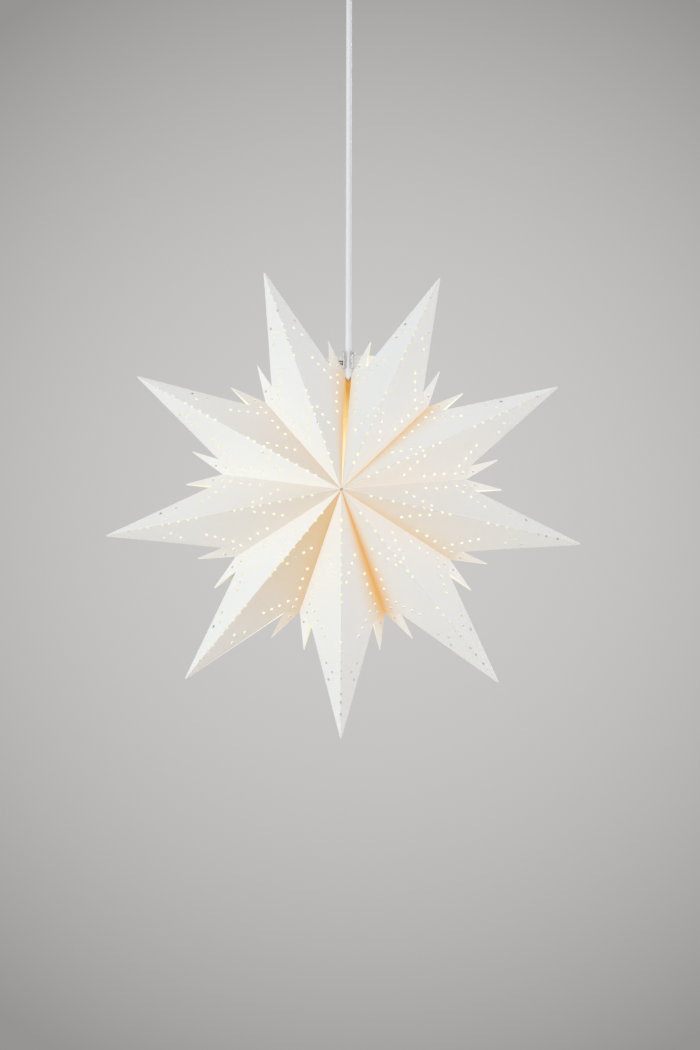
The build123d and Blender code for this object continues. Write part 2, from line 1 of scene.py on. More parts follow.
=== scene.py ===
"""Looks of a folded paper star lamp: perforated paper lit from inside, clip, cord, holder and ceiling cup.

Metres. +Z is up and the star's front faces -Y. The origin is at the ceiling, on the cord's line.
"""

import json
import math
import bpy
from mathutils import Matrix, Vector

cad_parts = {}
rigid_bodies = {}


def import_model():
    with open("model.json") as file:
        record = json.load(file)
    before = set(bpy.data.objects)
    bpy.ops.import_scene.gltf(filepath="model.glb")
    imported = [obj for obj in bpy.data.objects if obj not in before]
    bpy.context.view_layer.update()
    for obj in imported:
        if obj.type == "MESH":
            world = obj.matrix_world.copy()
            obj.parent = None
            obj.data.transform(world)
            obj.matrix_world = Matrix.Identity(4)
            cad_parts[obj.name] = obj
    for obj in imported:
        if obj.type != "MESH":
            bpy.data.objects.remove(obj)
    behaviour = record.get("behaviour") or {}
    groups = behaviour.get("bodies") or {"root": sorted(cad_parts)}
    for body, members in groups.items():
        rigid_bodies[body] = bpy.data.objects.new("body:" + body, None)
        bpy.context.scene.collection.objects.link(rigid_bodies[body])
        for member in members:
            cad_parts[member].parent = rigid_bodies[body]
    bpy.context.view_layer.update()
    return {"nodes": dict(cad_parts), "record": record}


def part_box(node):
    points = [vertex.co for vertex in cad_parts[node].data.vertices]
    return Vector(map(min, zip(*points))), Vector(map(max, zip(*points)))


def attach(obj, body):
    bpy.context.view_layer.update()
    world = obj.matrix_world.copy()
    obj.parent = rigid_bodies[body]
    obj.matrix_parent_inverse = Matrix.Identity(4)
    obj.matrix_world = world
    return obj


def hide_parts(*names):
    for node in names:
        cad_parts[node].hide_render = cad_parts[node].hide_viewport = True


bl_info = {
    "name": "Folded paper star",
    "version": (1, 0, 0),
    "blender": (4, 5, 0),
    "location": "3D View > Sidebar > Paper star",
    "description": "Makes the sheets, fittings, finishes and stage of a folded paper star lamp",
    "category": "Object",
}

import bmesh
import bpy
import numpy as np
from bpy.props import FloatProperty, FloatVectorProperty, IntProperty, PointerProperty
from mathutils import Matrix, Vector, geometry

for leftover in list(bpy.data.objects):
    bpy.data.objects.remove(leftover)

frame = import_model()
IMAGE_HEIGHT = 1050  # pixels
SLOT_OF = {part["node"]: part["material_slot"] for part in frame["record"]["subparts"]}
BODY_OF = {node: body for body, nodes in frame["record"]["behaviour"]["bodies"].items() for node in nodes}

ARM_DIRECTIONS = (23.6, 62.9, 101.5, 140.3, 180.5, 220.7, 260.5, 300.2, 340.4)  # degrees clockwise from up
ARM_COUNT = len(ARM_DIRECTIONS)
SEAM_DIRECTION = (ARM_DIRECTIONS[0] + ARM_DIRECTIONS[-1] - 360) / 2

# Holes of one facet, as shares of the ridge and of the valley from the apex.
RIDGE_HOLES = (
    0.122, 0.161, 0.213, 0.257, 0.299, 0.338, 0.371, 0.417, 0.448,
    0.609, 0.647, 0.686, 0.726, 0.757, 0.820, 0.854, 0.902,
)
FACET_HOLES = (
    (0.310, 0.118), (0.246, 0.172), (0.173, 0.242), (0.109, 0.305),
    (0.075, 0.527), (0.089, 0.586), (0.085, 0.670), (0.078, 0.774), (0.085, 0.828), (0.089, 0.903),
    (0.164, 0.656), (0.242, 0.572), (0.315, 0.486), (0.387, 0.405),
    (0.521, 0.355), (0.623, 0.220), (0.618, 0.294),
)

# How the lamp's light is painted on each sheet, on its half before the ridge and on the one after it,
# clockwise:
# the strength of the painted glow in the narrow line along the valley, in the wash beside it and in the veil
# over the whole half, and how much painted light brightens the half, or below zero how much painted shade
# darkens it, against its neighbours in the same light. Then, on the half's inner face, how pale the painted
# light in the holes is, how much of it is left at the tip, and how much along the arm's open edge.
HALF_LIGHT = (
    ((0.19, 0.03, 0.00, -0.04, 1.0, 0.9, 0.1), (0.04, 0.02, 0.06, 0.08, 0.0, 0.7, 0.1)),
    ((0.16, 0.60, 0.09, 0.00, 0.2, 0.7, 0.1), (0.00, 0.02, 0.17, 0.09, 0.0, 0.5, 0.1)),
    ((0.00, 0.02, 0.15, 0.00, 0.2, 0.3, 0.1), (0.06, 0.36, 0.29, 0.02, 0.0, 0.3, 0.2)),
    ((0.00, 0.00, 0.09, 0.09, 0.4, 0.2, 0.1), (0.86, 0.42, 0.10, 0.02, 0.5, 0.2, 0.4)),
    ((0.60, 0.88, 0.06, 0.06, 0.3, 0.2, 0.1), (0.04, 0.01, 0.04, 0.06, 1.0, 0.3, 0.1)),
    ((0.10, 0.32, 0.66, -0.02, 0.0, 0.8, 1.0), (0.03, 0.02, 0.05, 0.045, 1.0, 0.9, 0.1)),
    ((0.00, 0.00, 0.22, -0.02, 0.3, 0.8, 0.6), (0.00, 0.02, 0.19, -0.04, 0.6, 0.9, 0.1)),
    ((0.00, 0.00, 0.05, 0.065, 1.0, 0.9, 0.2), (0.05, 0.12, 0.28, -0.06, 0.0, 0.9, 0.1)),
    ((0.00, 0.02, 0.04, 0.035, 1.0, 0.9, 0.1), (0.35, 0.46, 0.06, 0.00, 0.0, 0.8, 0.1)),
)
# Degrees by which a back sheet's nicks lie inside its front sheet's: the lit inner face shows there.
NICK_SHIFTS = (
    (0.45, 0.45), (0.40, 0.30), (0.40, 0.60), (0.65, 0.50), (0.45, 0.65), (0.00, 0.65), (0.15, 0.55),
    (0.40, 0.60), (0.45, 0.45),
)
# How much nearer the centre a back sheet's outer holes lie than its front sheet's, as a share of the ridge.
HOLE_SLIPS = (0.0, 0.0, 0.0, 0.0, 0.0, 0.014, 0.014, 0.014, 0.014)
OUTER_ROW = 0.2  # a facet's holes with a smaller valley share than this are outer ones
HOLE_SIDES = 12
NOTCH_TURN = 0.8  # direction of the notch beside a spike, as a share of its nick's
BOW_START = 0.3  # share of the facet from the apex over which its bow grows
NO_LIGHT = (0.0, 0.0, 0.0)

# Places in the frame, in metres, between which the lamp's light changes on clip, cord and lampholder.
CLIP_SLOT_HEIGHTS = (-0.4550, -0.4524)
CLIP_SLOT_MIDDLE = -0.0086
CLIP_LIT = (-0.4566, -0.4530)
SHEATH_SHADOW = (-0.4737, -0.4702)
SHEATH_LIT = (-0.4755, -0.4722)
SHEATH_FADE = (-0.5090, -0.4750)
HOLDER_FADE = (-0.5430, -0.5090)
HOLDER_SEEN = (0.0040, 0.0060)  # to either side of the cord's line
# Distances from the star's axis over which the valleys' painted glow lines and wash, the painted veil and a
# half's painted brightening and darkening fade out.
LINE_FADE = (0.105, 0.165)
WASH_FADE = (0.100, 0.180)
VEIL_FADE = (-0.020, 0.205)
PAINTED_TONE_FADE = (0.0, 0.190)
# Inside an arm: where the light starts to fall off, how far before the tip it ends, and an open edge's width.
INNER_FADE = 0.150
INNER_END = 0.020
EDGE_WIDTH = 0.0025


# ---- sizes and colours
def length(name, description, default):
    """A length property in metres."""
    return FloatProperty(name=name, description=description, default=default, unit="LENGTH", precision=5)


def angle(name, description, degrees):
    """An angle property, given in degrees."""
    return FloatProperty(name=name, description=description, default=math.radians(degrees), unit="ROTATION")


def colour(name, description, default):
    """A linear colour property."""
    return FloatVectorProperty(
        name=name, description=description, default=default, size=3, subtype="COLOR", min=0.0, max=1.0
    )


class StarSizes(bpy.types.PropertyGroup):
    """Sizes of the folded sheets."""

    centre_height: length("Centre", "Star's centre below the ceiling", -0.590)
    tip_radius: length("Tip radius", "Star's centre to the tip of an arm", 0.244)
    tip_depth: length("Tip depth", "Ridge's end in front of the middle plane", 0.0005)
    tip_round: length("Tip rounding", "Radius of an arm's rounded end", 0.0009)
    half_depth: length("Half depth", "Middle plane to an apex", 0.0699)
    apex_hole: length("Apex hole", "Radius of the hole that the sheets leave at an apex", 0.0004)
    # the outer paper is drawn as a dark dot within this radius where the folds meet
    apex_dot: length("Apex dot", "Radius of the pressed spot where the folds meet", 0.0015)
    valley_radius: length("Valley radius", "Star's centre to the end of a valley", 0.125)
    nick_radius: length("Nick radius", "Star's centre to the nick between arm and spike", 0.1324)
    nick_angle: angle("Nick angle", "From the arm's middle line to the nick", 13.9)
    spike_radius: length("Spike radius", "Star's centre to the tip of a spike", 0.1603)
    spike_angle: angle("Spike angle", "From the arm's middle line to the spike's tip", 13.8)
    spike_spread: length("Spike spread", "Spike's tip in front of the middle plane", 0.0030)
    spike_tip: length("Spike end", "Blunt width of a spike's tip", 0.0006)
    paper: length("Paper", "Paper thickness along the star's axis", 0.0004)
    sheet_gap: length("Sheet gap", "Between a front sheet and its back sheet", 0.0003)
    seam_opening: angle("Seam", "Angle by which the fan's two ends stay apart", 3.3)
    glue_margin: length("Glue margin", "Depth of the margin inside a valley", 0.006)
    glue_end_gap: length("Glue end", "Margin's end above the middle plane", 0.003)
    hole_radius: length("Hole radius", "Radius of a punched hole", 0.00158)
    grid_step: length("Grid step", "Spacing of the points inside a facet", 0.007)
    bow: length("Bow", "How far the paper bows between two folds", 0.0007)


class StarColours(bpy.types.PropertyGroup):
    """Colours of the paper and of the light that it lets through, painted on as glow."""

    paper: colour("Paper", "The sheets' outer face", (0.93, 0.93, 0.915))
    glow: colour("Glow", "Light through the paper", (0.80, 0.455, 0.085))
    line: colour("Line", "Narrow glow along a valley", (0.85, 0.42, 0.085))
    inside: colour("Inside", "The lit inner face", (1.0, 0.965, 0.80))
    inside_pale: colour("Inside, pale", "The lit inner face behind the brightest halves", (0.87, 0.85, 0.58))
    inside_dark: colour("Inside, dark", "The inner face where the light doesn't reach", (0.16, 0.155, 0.145))
    seam_near: colour("Seam", "Light in the seam near the centre", (0.98, 0.74, 0.28))
    seam_far: colour("Seam, far", "Light in the seam near the clip", (0.84, 0.38, 0.035))
    # painted shade along each ridge's fold, in place of the shading of a rounded crease
    ridge: colour("Ridge", "The pressed fold along a ridge", (0.66, 0.68, 0.66))


class FittingSizes(bpy.types.PropertyGroup):
    """Sizes of the cord and the fittings that are not read from the frame."""

    cord_diameter: length("Cord", "Diameter of the cord", 0.006)
    cup_wall: length("Cup wall", "Wall of the ceiling cup", 0.0016)
    cup_round: length("Cup rounding", "Between the cup's wall and floor", 0.0070)
    cup_hole: length("Cup hole", "Radius of the hole for the grip's stem", 0.0052)
    nut_bore: length("Nut bore", "Radius of the grip nut's thread", 0.0061)
    nut_mouth: length("Nut mouth", "Radius of the grip nut's lower hole", 0.0050)
    nut_flare: length("Nut flare", "How far that hole widens downwards", 0.0013)
    nut_lip: length("Nut lip", "Floor of the grip nut", 0.0011)
    flutes: IntProperty(name="Flutes", description="Grip flutes round the nut", default=20, min=6)
    flute_depth: length("Flute depth", "Depth of the nut's flutes", 0.0005)
    shell_wall: length("Shell wall", "Wall of the threaded shell", 0.0004)
    cap_wall: length("Cap wall", "Wall of the bulb's cap", 0.0003)
    thread_pitch: length("Thread pitch", "Pitch of the bulb's thread", 0.00282)
    thread_depth: length("Thread depth", "Half the height of the bulb's thread", 0.00014)
    soft_edge: length("Soft edge", "Rounding of moulded and turned edges", 0.0005)


class StageSizes(bpy.types.PropertyGroup):
    """Camera, backdrop and light."""

    camera_distance: length("Distance", "Camera to the star's centre", 2.200)
    camera_right: length("Right", "Camera to the right of the star's centre", 0.00649)
    camera_up: length("Up", "Camera above the star's centre, in the view", -0.0291)
    pitch: angle("Pitch", "Upward tilt of the view", 4.86)
    yaw: angle("Yaw", "Turn of the view", -1.57)
    focal_pixels: FloatProperty(
        name="Focal length", description="In pixels of a 1050 pixel high image", default=2171.0
    )
    wall: length("Wall", "Backdrop behind the star", 4.500)
    floor: length("Floor", "Floor below the ceiling", -2.000)
    wall_top: length("Wall's top", "Upper edge of the wall above the ceiling", 4.0)
    side: length("Side", "Reach of wall and floor to either side", 6.0)
    falloff: length("Fall-off", "Distance on the wall over which it loses 14% of its light", 0.920)
    middle_right: length("Middle, right", "Brightest place of the wall, along X", -0.090)
    middle_height: length("Middle, height", "Brightest place of the wall, below the ceiling", -0.173)
    backdrop: colour("Backdrop", "Colour of wall and floor", (0.608, 0.600, 0.588))


GROUPS = {
    "star_sizes": StarSizes,
    "star_colours": StarColours,
    "fitting_sizes": FittingSizes,
    "stage_sizes": StageSizes,
}


# ---- shader expressions
def overload(operation, reflected=False):
    """An overloaded operator of Signal, or its reflected form, where the two operands change places."""
    def apply(self, other):
        return self.math(operation, *((other, self) if reflected else (self, other)))

    return apply


class Signal:
    """A shader socket that can be used in arithmetic. Each operation on it adds a Math node."""

    __add__, __radd__ = overload("ADD"), overload("ADD", reflected=True)
    __sub__, __rsub__ = overload("SUBTRACT"), overload("SUBTRACT", reflected=True)
    __mul__, __rmul__ = overload("MULTIPLY"), overload("MULTIPLY", reflected=True)
    __truediv__, __pow__, at_least = overload("DIVIDE"), overload("POWER"), overload("MAXIMUM")

    def __init__(self, finish, socket):
        self.finish = finish
        self.socket = socket

    def math(self, operation, *values):
        return self.finish.add("ShaderNodeMath", dict(enumerate(values)), operation=operation)

    def __neg__(self):
        return self * -1.0

    def __abs__(self):
        return self.math("ABSOLUTE", self)

    def falling(self, width):
        """1 at zero, falling off as e to the power of minus self over width."""
        return self.math("POWER", math.e, -(self / width))

    def ramp(self, start, end):
        """0 up to start, 1 from end on, smooth in between."""
        inputs = {"Value": self, "From Min": start, "From Max": end}
        return self.finish.add("ShaderNodeMapRange", inputs, interpolation_type="SMOOTHSTEP")

    def near(self, middle, reach, end):
        """1 within reach of the middle, 0 from end on, smooth in between."""
        return 1.0 - abs(self - middle).ramp(reach, end)


class Finish:
    """A material that is put together from named nodes and expressions on Signals."""

    def __init__(self, name, owner=None):
        self.material = owner or bpy.data.materials.new(name)
        self.material.use_nodes = True
        self.tree = self.material.node_tree
        self.shader = self.tree.nodes.get("Principled BSDF")

    def feed(self, socket, value):
        if isinstance(value, Signal):
            self.tree.links.new(value.socket, socket)
        elif socket.type == "RGBA":
            socket.default_value = (*value, 1.0)
        else:
            socket.default_value = value

    def add(self, kind, inputs=None, output=0, **settings):
        """Add a node of a kind: its settings first, then the values or links of its sockets."""
        node = self.tree.nodes.new(kind)
        for key, value in settings.items():
            setattr(node, key, value)
        for key, value in (inputs or {}).items():
            self.feed(node.inputs[key], value)
        return Signal(self, node.outputs[output])

    def set(self, **values):
        """Set sockets of the main shader: Base_Color stands for Base Color."""
        for key, value in values.items():
            self.feed(self.shader.inputs[key.replace("_", " ")], value)
        return self

    def mix(self, share, first, second):
        """Colour that goes from first to second with share."""
        return self.add("ShaderNodeMix", {"Factor": share, 6: first, 7: second}, output=2, data_type="RGBA")

    def place(self):
        """Object coordinates, as a vector."""
        return self.add("ShaderNodeTexCoord", output=3)

    def parts(self, vector):
        """The three parts of a vector."""
        first = self.add("ShaderNodeSeparateXYZ", {0: vector})
        return [Signal(self, socket) for socket in first.socket.node.outputs]

    def value(self, name):
        """A number that is stored with the points or the faces of the mesh."""
        return self.add("ShaderNodeAttribute", output=2, attribute_name=name)

    def noise(self, scale, detail=3.0, roughness=0.5, stretch=None):
        """Soft noise on object coordinates, 0 to 1; stretch scales the pattern along each axis."""
        vector = self.place()
        if stretch is not None:
            vector = self.add("ShaderNodeMapping", {"Vector": vector, "Scale": stretch})
        inputs = {"Vector": vector, "Scale": scale, "Detail": detail, "Roughness": roughness}
        return self.add("ShaderNodeTexNoise", inputs)

    def bump(self, height, strength, distance):
        """Feed the shader's normal from a height."""
        inputs = {"Height": height, "Strength": strength, "Distance": distance}
        return self.set(Normal=self.add("ShaderNodeBump", inputs))


def shade(tone, share):
    """A colour, darkened to a share of itself."""
    return [share * part for part in tone]


def moulded(name, base, roughness, coat=0.0, grain=900.0, depth=0.00003):
    """Moulded plastic or rubber: fine grain in the surface and slightly uneven gloss and colour."""
    finish = Finish(name)
    cloud = finish.noise(35.0, 4.0)
    finish.set(Base_Color=finish.mix(cloud.ramp(0.35, 0.75) * 0.6, base, shade(base, 0.93)))
    finish.set(Roughness=cloud * 0.12 + (roughness - 0.06), Coat_Weight=coat)
    return finish.bump(finish.noise(grain, 2.0), 0.35, depth)


def drawn_metal(name, base, roughness, stretch=(1.0, 1.0, 30.0)):
    """Metal with fine drawing marks: noise that is stretched along one axis."""
    finish = Finish(name)
    marks = finish.noise(400.0, 3.0, 0.6, stretch)
    stain = finish.noise(60.0, 4.0)
    finish.set(Base_Color=finish.mix(stain.ramp(0.45, 0.85) * 0.5, base, shade(base, 0.72)))
    finish.set(Metallic=1.0, Roughness=marks * 0.22 + (roughness - 0.08))
    return finish.bump(marks, 0.25, 0.00002)


def clear_plastic(name):
    """Clear plastic, a little milky. Painted shade darkens it at a glancing angle, in place of the dark edges
    that reflection gives clear plastic, and in its two slots; painted light gives it a faint glow towards its
    right end and the lamp's glow from below where it reaches out between the sheets."""
    finish = Finish(name)
    edge = finish.add("ShaderNodeLayerWeight", {"Blend": 0.5}, output=1)
    x, _, z = finish.parts(finish.place())
    lower, upper = [z.near(height, 0.0008, 0.0011) for height in CLIP_SLOT_HEIGHTS]
    slots = x.near(CLIP_SLOT_MIDDLE, 0.0031, 0.0036) * (lower + upper)
    # painted shade: darker at a glancing angle, standing in for reflection
    tone = finish.mix(edge.ramp(0.15, 0.80), (0.97, 0.965, 0.955), (0.62, 0.58, 0.54))
    # painted shade: the two slots go nearly black
    finish.set(Base_Color=finish.mix(slots, tone, (0.05, 0.035, 0.03)))
    # painted light: the lamp's glow from below, and a faint glow towards the clip's right end
    low = (1.0 - z.ramp(*CLIP_LIT)) * abs(x).ramp(0.010, 0.015)
    painted_glow = finish.mix(x.ramp(0.008, 0.020), (0.02, 0.02, 0.02), (0.13, 0.11, 0.10))
    painted_glow = finish.mix(low, painted_glow, (0.42, 0.25, 0.05))
    finish.set(Emission_Color=finish.mix(slots, painted_glow, NO_LIGHT), Emission_Strength=1.0)
    return finish.set(Transmission_Weight=0.74, IOR=1.47, Roughness=finish.noise(120.0, 3.0) * 0.05 + 0.03)


def glowing_plastic(name, base, light, roughness, lower=None, upper=None):
    """Plastic inside the star with the lamp's light as glow: its own colour and a share of the lamp's, which
    is the bulb's own light on the opal globe and painted light on the holder. Where the seam shows the
    holder, that painted light turns to the colour lower, and to upper towards the holder's top."""
    finish = moulded(name, base, roughness)
    tone = finish.mix(finish.noise(20.0, 2.0) * 0.3, light, shade(light, 0.8))
    if upper is not None:
        x, _, z = finish.parts(finish.place())
        tone = finish.mix(abs(x).ramp(*HOLDER_SEEN), finish.mix(z.ramp(*HOLDER_FADE), lower, upper), tone)
    return finish.set(Emission_Color=tone, Emission_Strength=1.0)


def cord_sheath(name, base, light, lower):
    """Smooth white sheath: in shadow where it goes in between the sheets, at height - 1.4 |x| and so higher
    at its sides, and below that lit by the lamp, which turns from the colour light to lower."""
    finish = moulded(name, base, 0.36, grain=300.0, depth=0.00002)
    x, _, z = finish.parts(finish.place())
    level = z - 1.4 * abs(x)
    finish.set(Base_Color=finish.mix(level.ramp(*SHEATH_SHADOW), (0.22, 0.11, 0.02), base))
    painted_glow = finish.mix(z.ramp(*SHEATH_FADE), lower, light)
    return finish.set(
        Emission_Color=finish.mix(level.ramp(*SHEATH_LIT), painted_glow, NO_LIGHT), Emission_Strength=1.0
    )


# The finish of each material slot: what makes it, and what follows the slot's name there.
RECIPES = {
    "clear_plastic": (clear_plastic,),
    "white_plastic": (moulded, (0.86, 0.86, 0.85), 0.40),
    "cord_sheath": (cord_sheath, (0.83, 0.845, 0.875), (0.51, 0.24, 0.013), (0.68, 0.51, 0.16)),
    "lead_insulation": (moulded, (0.14, 0.060, 0.030), 0.42),
    "seal_rubber": (moulded, (0.030, 0.030, 0.032), 0.75),
    "zinc_steel": (drawn_metal, (0.60, 0.62, 0.65), 0.36, (30.0, 1.0, 1.0)),
    "brass": (drawn_metal, (0.78, 0.58, 0.27), 0.30),
    "nickel_brass": (drawn_metal, (0.74, 0.72, 0.67), 0.24, (1.0, 1.0, 8.0)),
    "terminal_plastic": (moulded, (0.78, 0.78, 0.73), 0.52),
    # painted light: the holder glows in the lamp's colours over a dark base
    "holder_plastic": (
        glowing_plastic, (0.26, 0.20, 0.09), (0.96, 0.88, 0.58), 0.38, (0.80, 0.66, 0.40), (0.74, 0.47, 0.17),
    ),
    "carrier_plastic": (moulded, (0.66, 0.63, 0.54), 0.55),
    "black_glass": (moulded, (0.015, 0.015, 0.018), 0.14, 0.5),
    "solder": (drawn_metal, (0.55, 0.55, 0.56), 0.48, (1.0, 1.0, 1.0)),
    "opal_plastic": (glowing_plastic, (0.26, 0.23, 0.16), (0.95, 0.80, 0.48), 0.34),
}
made = {}


def finish_of(node):
    """The finish of a node's material slot, made once."""
    slot = SLOT_OF[node]
    if slot not in made:
        maker, *values = RECIPES[slot]
        made[slot] = maker(slot, *values)
    return made[slot]


# ---- surfaces
def grid_faces(rows, columns, closed=False):
    """Quads between the points of a grid that is stored row by row and whose rows go round. Where it is
    closed, the last row meets the first."""
    row, column = np.meshgrid(np.arange(rows if closed else rows - 1), np.arange(columns), indexing="ij")
    next_row, next_column = (row + 1) % rows, (column + 1) % columns
    here, ahead = row * columns, next_row * columns
    corners = (here + column, here + next_column, ahead + next_column, ahead + column)
    return np.stack(corners, -1).reshape(-1, 4)


def softened(corners, radii, steps=6):
    """Closed polyline with rounded corners: each corner C becomes a curve (1-t)^2 A + 2t(1-t) C + t^2 B
    between points A and B on its two sides, a radius away or a third of the side where that is less."""
    corners = np.asarray(corners, float)
    radii = np.broadcast_to(np.asarray(radii, float), len(corners))[:, None]

    def cut(neighbour):
        side = neighbour - corners
        reach = np.linalg.norm(side, axis=1, keepdims=True)
        return corners + side / np.maximum(reach, 1e-9) * np.minimum(radii, reach / 3)

    t = np.linspace(0, 1, steps)[None, :, None]
    first, last = cut(np.roll(corners, 1, 0))[:, None], cut(np.roll(corners, -1, 0))[:, None]
    return ((1 - t) ** 2 * first + 2 * t * (1 - t) * corners[:, None] + t**2 * last).reshape(-1, 2)


def lathe(profile, count, ripple=None):
    """Surface of revolution: each (radius, height) point of the profile goes round Z in count steps.
    ripple(radius, angle, height) is added to the radius."""
    turn = np.linspace(0, 2 * math.pi, count, endpoint=False)
    radius, turn = np.meshgrid(profile[:, 0], turn, indexing="ij")
    height = np.repeat(profile[:, 1][:, None], count, 1)
    if ripple is not None:
        radius = radius + ripple(radius, turn, height)
    return np.stack([radius * np.cos(turn), radius * np.sin(turn), height], -1).reshape(-1, 3)


def placed(name, data):
    """A new object with its data, in the scene."""
    thing = bpy.data.objects.new(name, data)
    bpy.context.scene.collection.objects.link(thing)
    return thing


def show(name, data, node):
    """Put a piece in the scene for a node of the frame, on its body, and hide the node's own solid."""
    piece = placed(name, data)
    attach(piece, BODY_OF[node])
    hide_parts(node)
    return piece


def refined(mesh, merge, sharp, flat=None):
    """Make points nearer than merge one, and all of a mesh smooth but edges that turn further than sharp.
    Faces that turn less than flat are joined; without flat, all faces are turned outwards."""
    work = bmesh.new()
    work.from_mesh(mesh)
    bmesh.ops.remove_doubles(work, verts=work.verts, dist=merge)
    if flat is None:
        bmesh.ops.dissolve_degenerate(work, edges=work.edges, dist=merge / 10)
        bmesh.ops.recalc_face_normals(work, faces=work.faces)
    else:
        bmesh.ops.dissolve_limit(work, angle_limit=flat, verts=work.verts, edges=work.edges)
    work.to_mesh(mesh)
    work.free()
    mesh.shade_smooth()
    mesh.set_sharp_from_angle(angle=sharp)


def make_piece(node, points, faces, finishes, sharp=32.0, face_finishes=None, attributes=()):
    """Mesh object for a node, from points and faces. Each of attributes is a domain, its names and a table
    with one row per point or per face."""
    name = f"{node}_shown"
    mesh = bpy.data.meshes.new(name)
    mesh.from_pydata(np.asarray(points).tolist(), [], faces)
    for finish in finishes:
        mesh.materials.append(finish.material)
    if face_finishes is not None:
        mesh.polygons.foreach_set("material_index", np.asarray(face_finishes, np.int32))
    for domain, keys, table in attributes:
        for key, numbers in zip(keys, table.T):
            mesh.attributes.new(key, "FLOAT", domain).data.foreach_set(
                "value", np.asarray(numbers, np.float32)
            )
    refined(mesh, 1e-7, math.radians(sharp))
    show(name, mesh, node)


EDGE_TURN = math.radians(38)  # past which an edge of a solid is sharp, and rounded
FLAT_TURN = math.radians(0.6)  # below which its faces are joined


def dress(node, finish, edge):
    """The node's own solid with doubles merged, flat faces joined and edges rounded by a Bevel modifier."""
    name = f"{node}_shown"
    mesh = frame["nodes"][node].data.copy()
    mesh.name = name
    mesh.materials.clear()
    mesh.materials.append(finish.material)
    refined(mesh, 2e-6, EDGE_TURN, FLAT_TURN)
    bevel = show(name, mesh, node).modifiers.new("soft edges", "BEVEL")
    bevel.width = edge
    bevel.segments = 2
    bevel.limit_method = "ANGLE"
    bevel.angle_limit = EDGE_TURN
    bevel.harden_normals = True


def turned(node, corners, radii, finish, count, ripple=None, rows=0):
    """Piece for a node, turned round the cord's line from (radius, height) corners rounded by radii. rows
    puts that many more points on each side longer than 0.6 of the longest, for a ripple to show."""
    profile = softened(corners, radii)
    if rows:
        ahead = np.roll(profile, -1, 0)
        steps = np.linalg.norm(ahead - profile, axis=1)
        share = np.linspace(0, 1, rows, endpoint=False)[:, None]
        parts = [
            start * (1 - share) + end * share if step > 0.6 * steps.max() else start[None]
            for start, end, step in zip(profile, ahead, steps)
        ]
        profile = np.concatenate(parts)
    faces = grid_faces(len(profile), count, closed=True).tolist()
    make_piece(node, lathe(profile, count, ripple), faces, [finish])


# ---- folded sheets
def spot(radius, degrees):
    """Place in the star's middle plane, (x, z): radius from the centre, angle clockwise from up."""
    turn = math.radians(degrees)
    return np.array([radius * math.sin(turn), radius * math.cos(turn)])


def shares_of(places, corners):
    """Shares of three corners at places, both in the middle plane: they add up to one at each place."""
    base = np.column_stack([corners[:, :2], np.ones(3)])
    return np.column_stack([places, np.ones(len(places))]) @ np.linalg.inv(base)


def same_side(places, other, start, end):
    """True where places lie on the same side of the line from start to end as the other place does."""
    line = end - start
    sides = [line[0] * way[..., 1] - line[1] * way[..., 0] > 0 for way in (places - start, other - start)]
    return sides[0] == sides[1]


class Facet:
    """One flat half of a sheet with its spike. Corners are (x, z, depth in front of the middle plane)."""

    def __init__(self, sizes, ridge_angle, valley_angle, side, nick_shift):
        apex = np.array([0.0, 0.0, sizes.half_depth])
        self.tip = np.array([*spot(sizes.tip_radius, ridge_angle), sizes.tip_depth])
        self.valley = np.array([*spot(sizes.valley_radius, valley_angle), 0.0])
        self.corners = np.array([apex, self.tip, self.valley])
        nick_turn = math.degrees(sizes.nick_angle) - nick_shift
        nick = spot(sizes.nick_radius, ridge_angle + side * nick_turn)
        self.nick = np.array([*nick, float((shares_of(nick[None], self.corners) @ self.corners[:, 2])[0])])
        end = spot(sizes.spike_radius, ridge_angle + side * math.degrees(sizes.spike_angle))
        self.spike = np.array([*end, sizes.spike_spread])
        self.spike_corners = np.array([self.valley, self.nick, self.spike])
        self.notch = spot(sizes.spike_radius, ridge_angle + side * NOTCH_TURN * nick_turn)
        along = (self.tip - apex) / np.linalg.norm(self.tip - apex)
        normal = np.cross(self.tip - apex, self.valley - apex)
        across = np.cross(normal, along)
        across *= np.sign(across @ (self.valley - apex)) / np.linalg.norm(across)
        self.along, self.across = along, across

    def at(self, ridge_share, valley_share):
        """Place in the middle plane at shares of the ridge and of the valley."""
        return ridge_share * self.tip[:2] + valley_share * self.valley[:2]

    def arc(self, centre, radius, start, end, count):
        """Points on a circle of the flat paper: centre + radius (cos t along the ridge + sin t across it)."""
        t = np.linspace(start, end, count, endpoint=False)[:, None]
        return centre + radius * (np.cos(t) * self.along[:2] + np.sin(t) * self.across[:2])

    def in_spike(self, places):
        """True where a place lies in the spike: past the line from valley end to nick, seen from the centre,
        and on the valley's side of the line from the nick out through the notch."""
        valley, nick = self.valley[:2], self.nick[:2]
        before_fold = same_side(places, np.zeros(2), valley, nick)
        spike_side = same_side(places, valley, nick, self.notch)
        return ~before_fold & spike_side & (np.linalg.norm(places - nick, axis=1) > 1e-7)

    def depths(self, places, bow):
        """Depth of the sheet at places: the flat facet plus bow times 4 p (1 - p), where p goes from 0 on
        the ridge to 1 on the valley, and in the spike the flat triangle of valley end, nick and tip."""
        shares = shares_of(places, self.corners)
        ridge_share, valley_share = shares[:, 1], shares[:, 2]
        p = np.clip(valley_share / np.maximum(ridge_share + valley_share, 1e-6), 0, 1)
        reach = np.clip((ridge_share + valley_share) / BOW_START, 0, 1)
        depth = shares @ self.corners[:, 2] + bow * 4 * p * (1 - p) * reach
        spike = shares_of(places, self.spike_corners) @ self.spike_corners[:, 2]
        return np.where(self.in_spike(places), spike, depth), shares

    def from_edge(self, places):
        """Distance of places from the arm's open edge, the line from nick to tip."""
        edge = (self.tip - self.nick)[:2] / np.linalg.norm((self.tip - self.nick)[:2])
        way = places - self.nick[:2]
        return np.abs(edge[0] * way[:, 1] - edge[1] * way[:, 0])


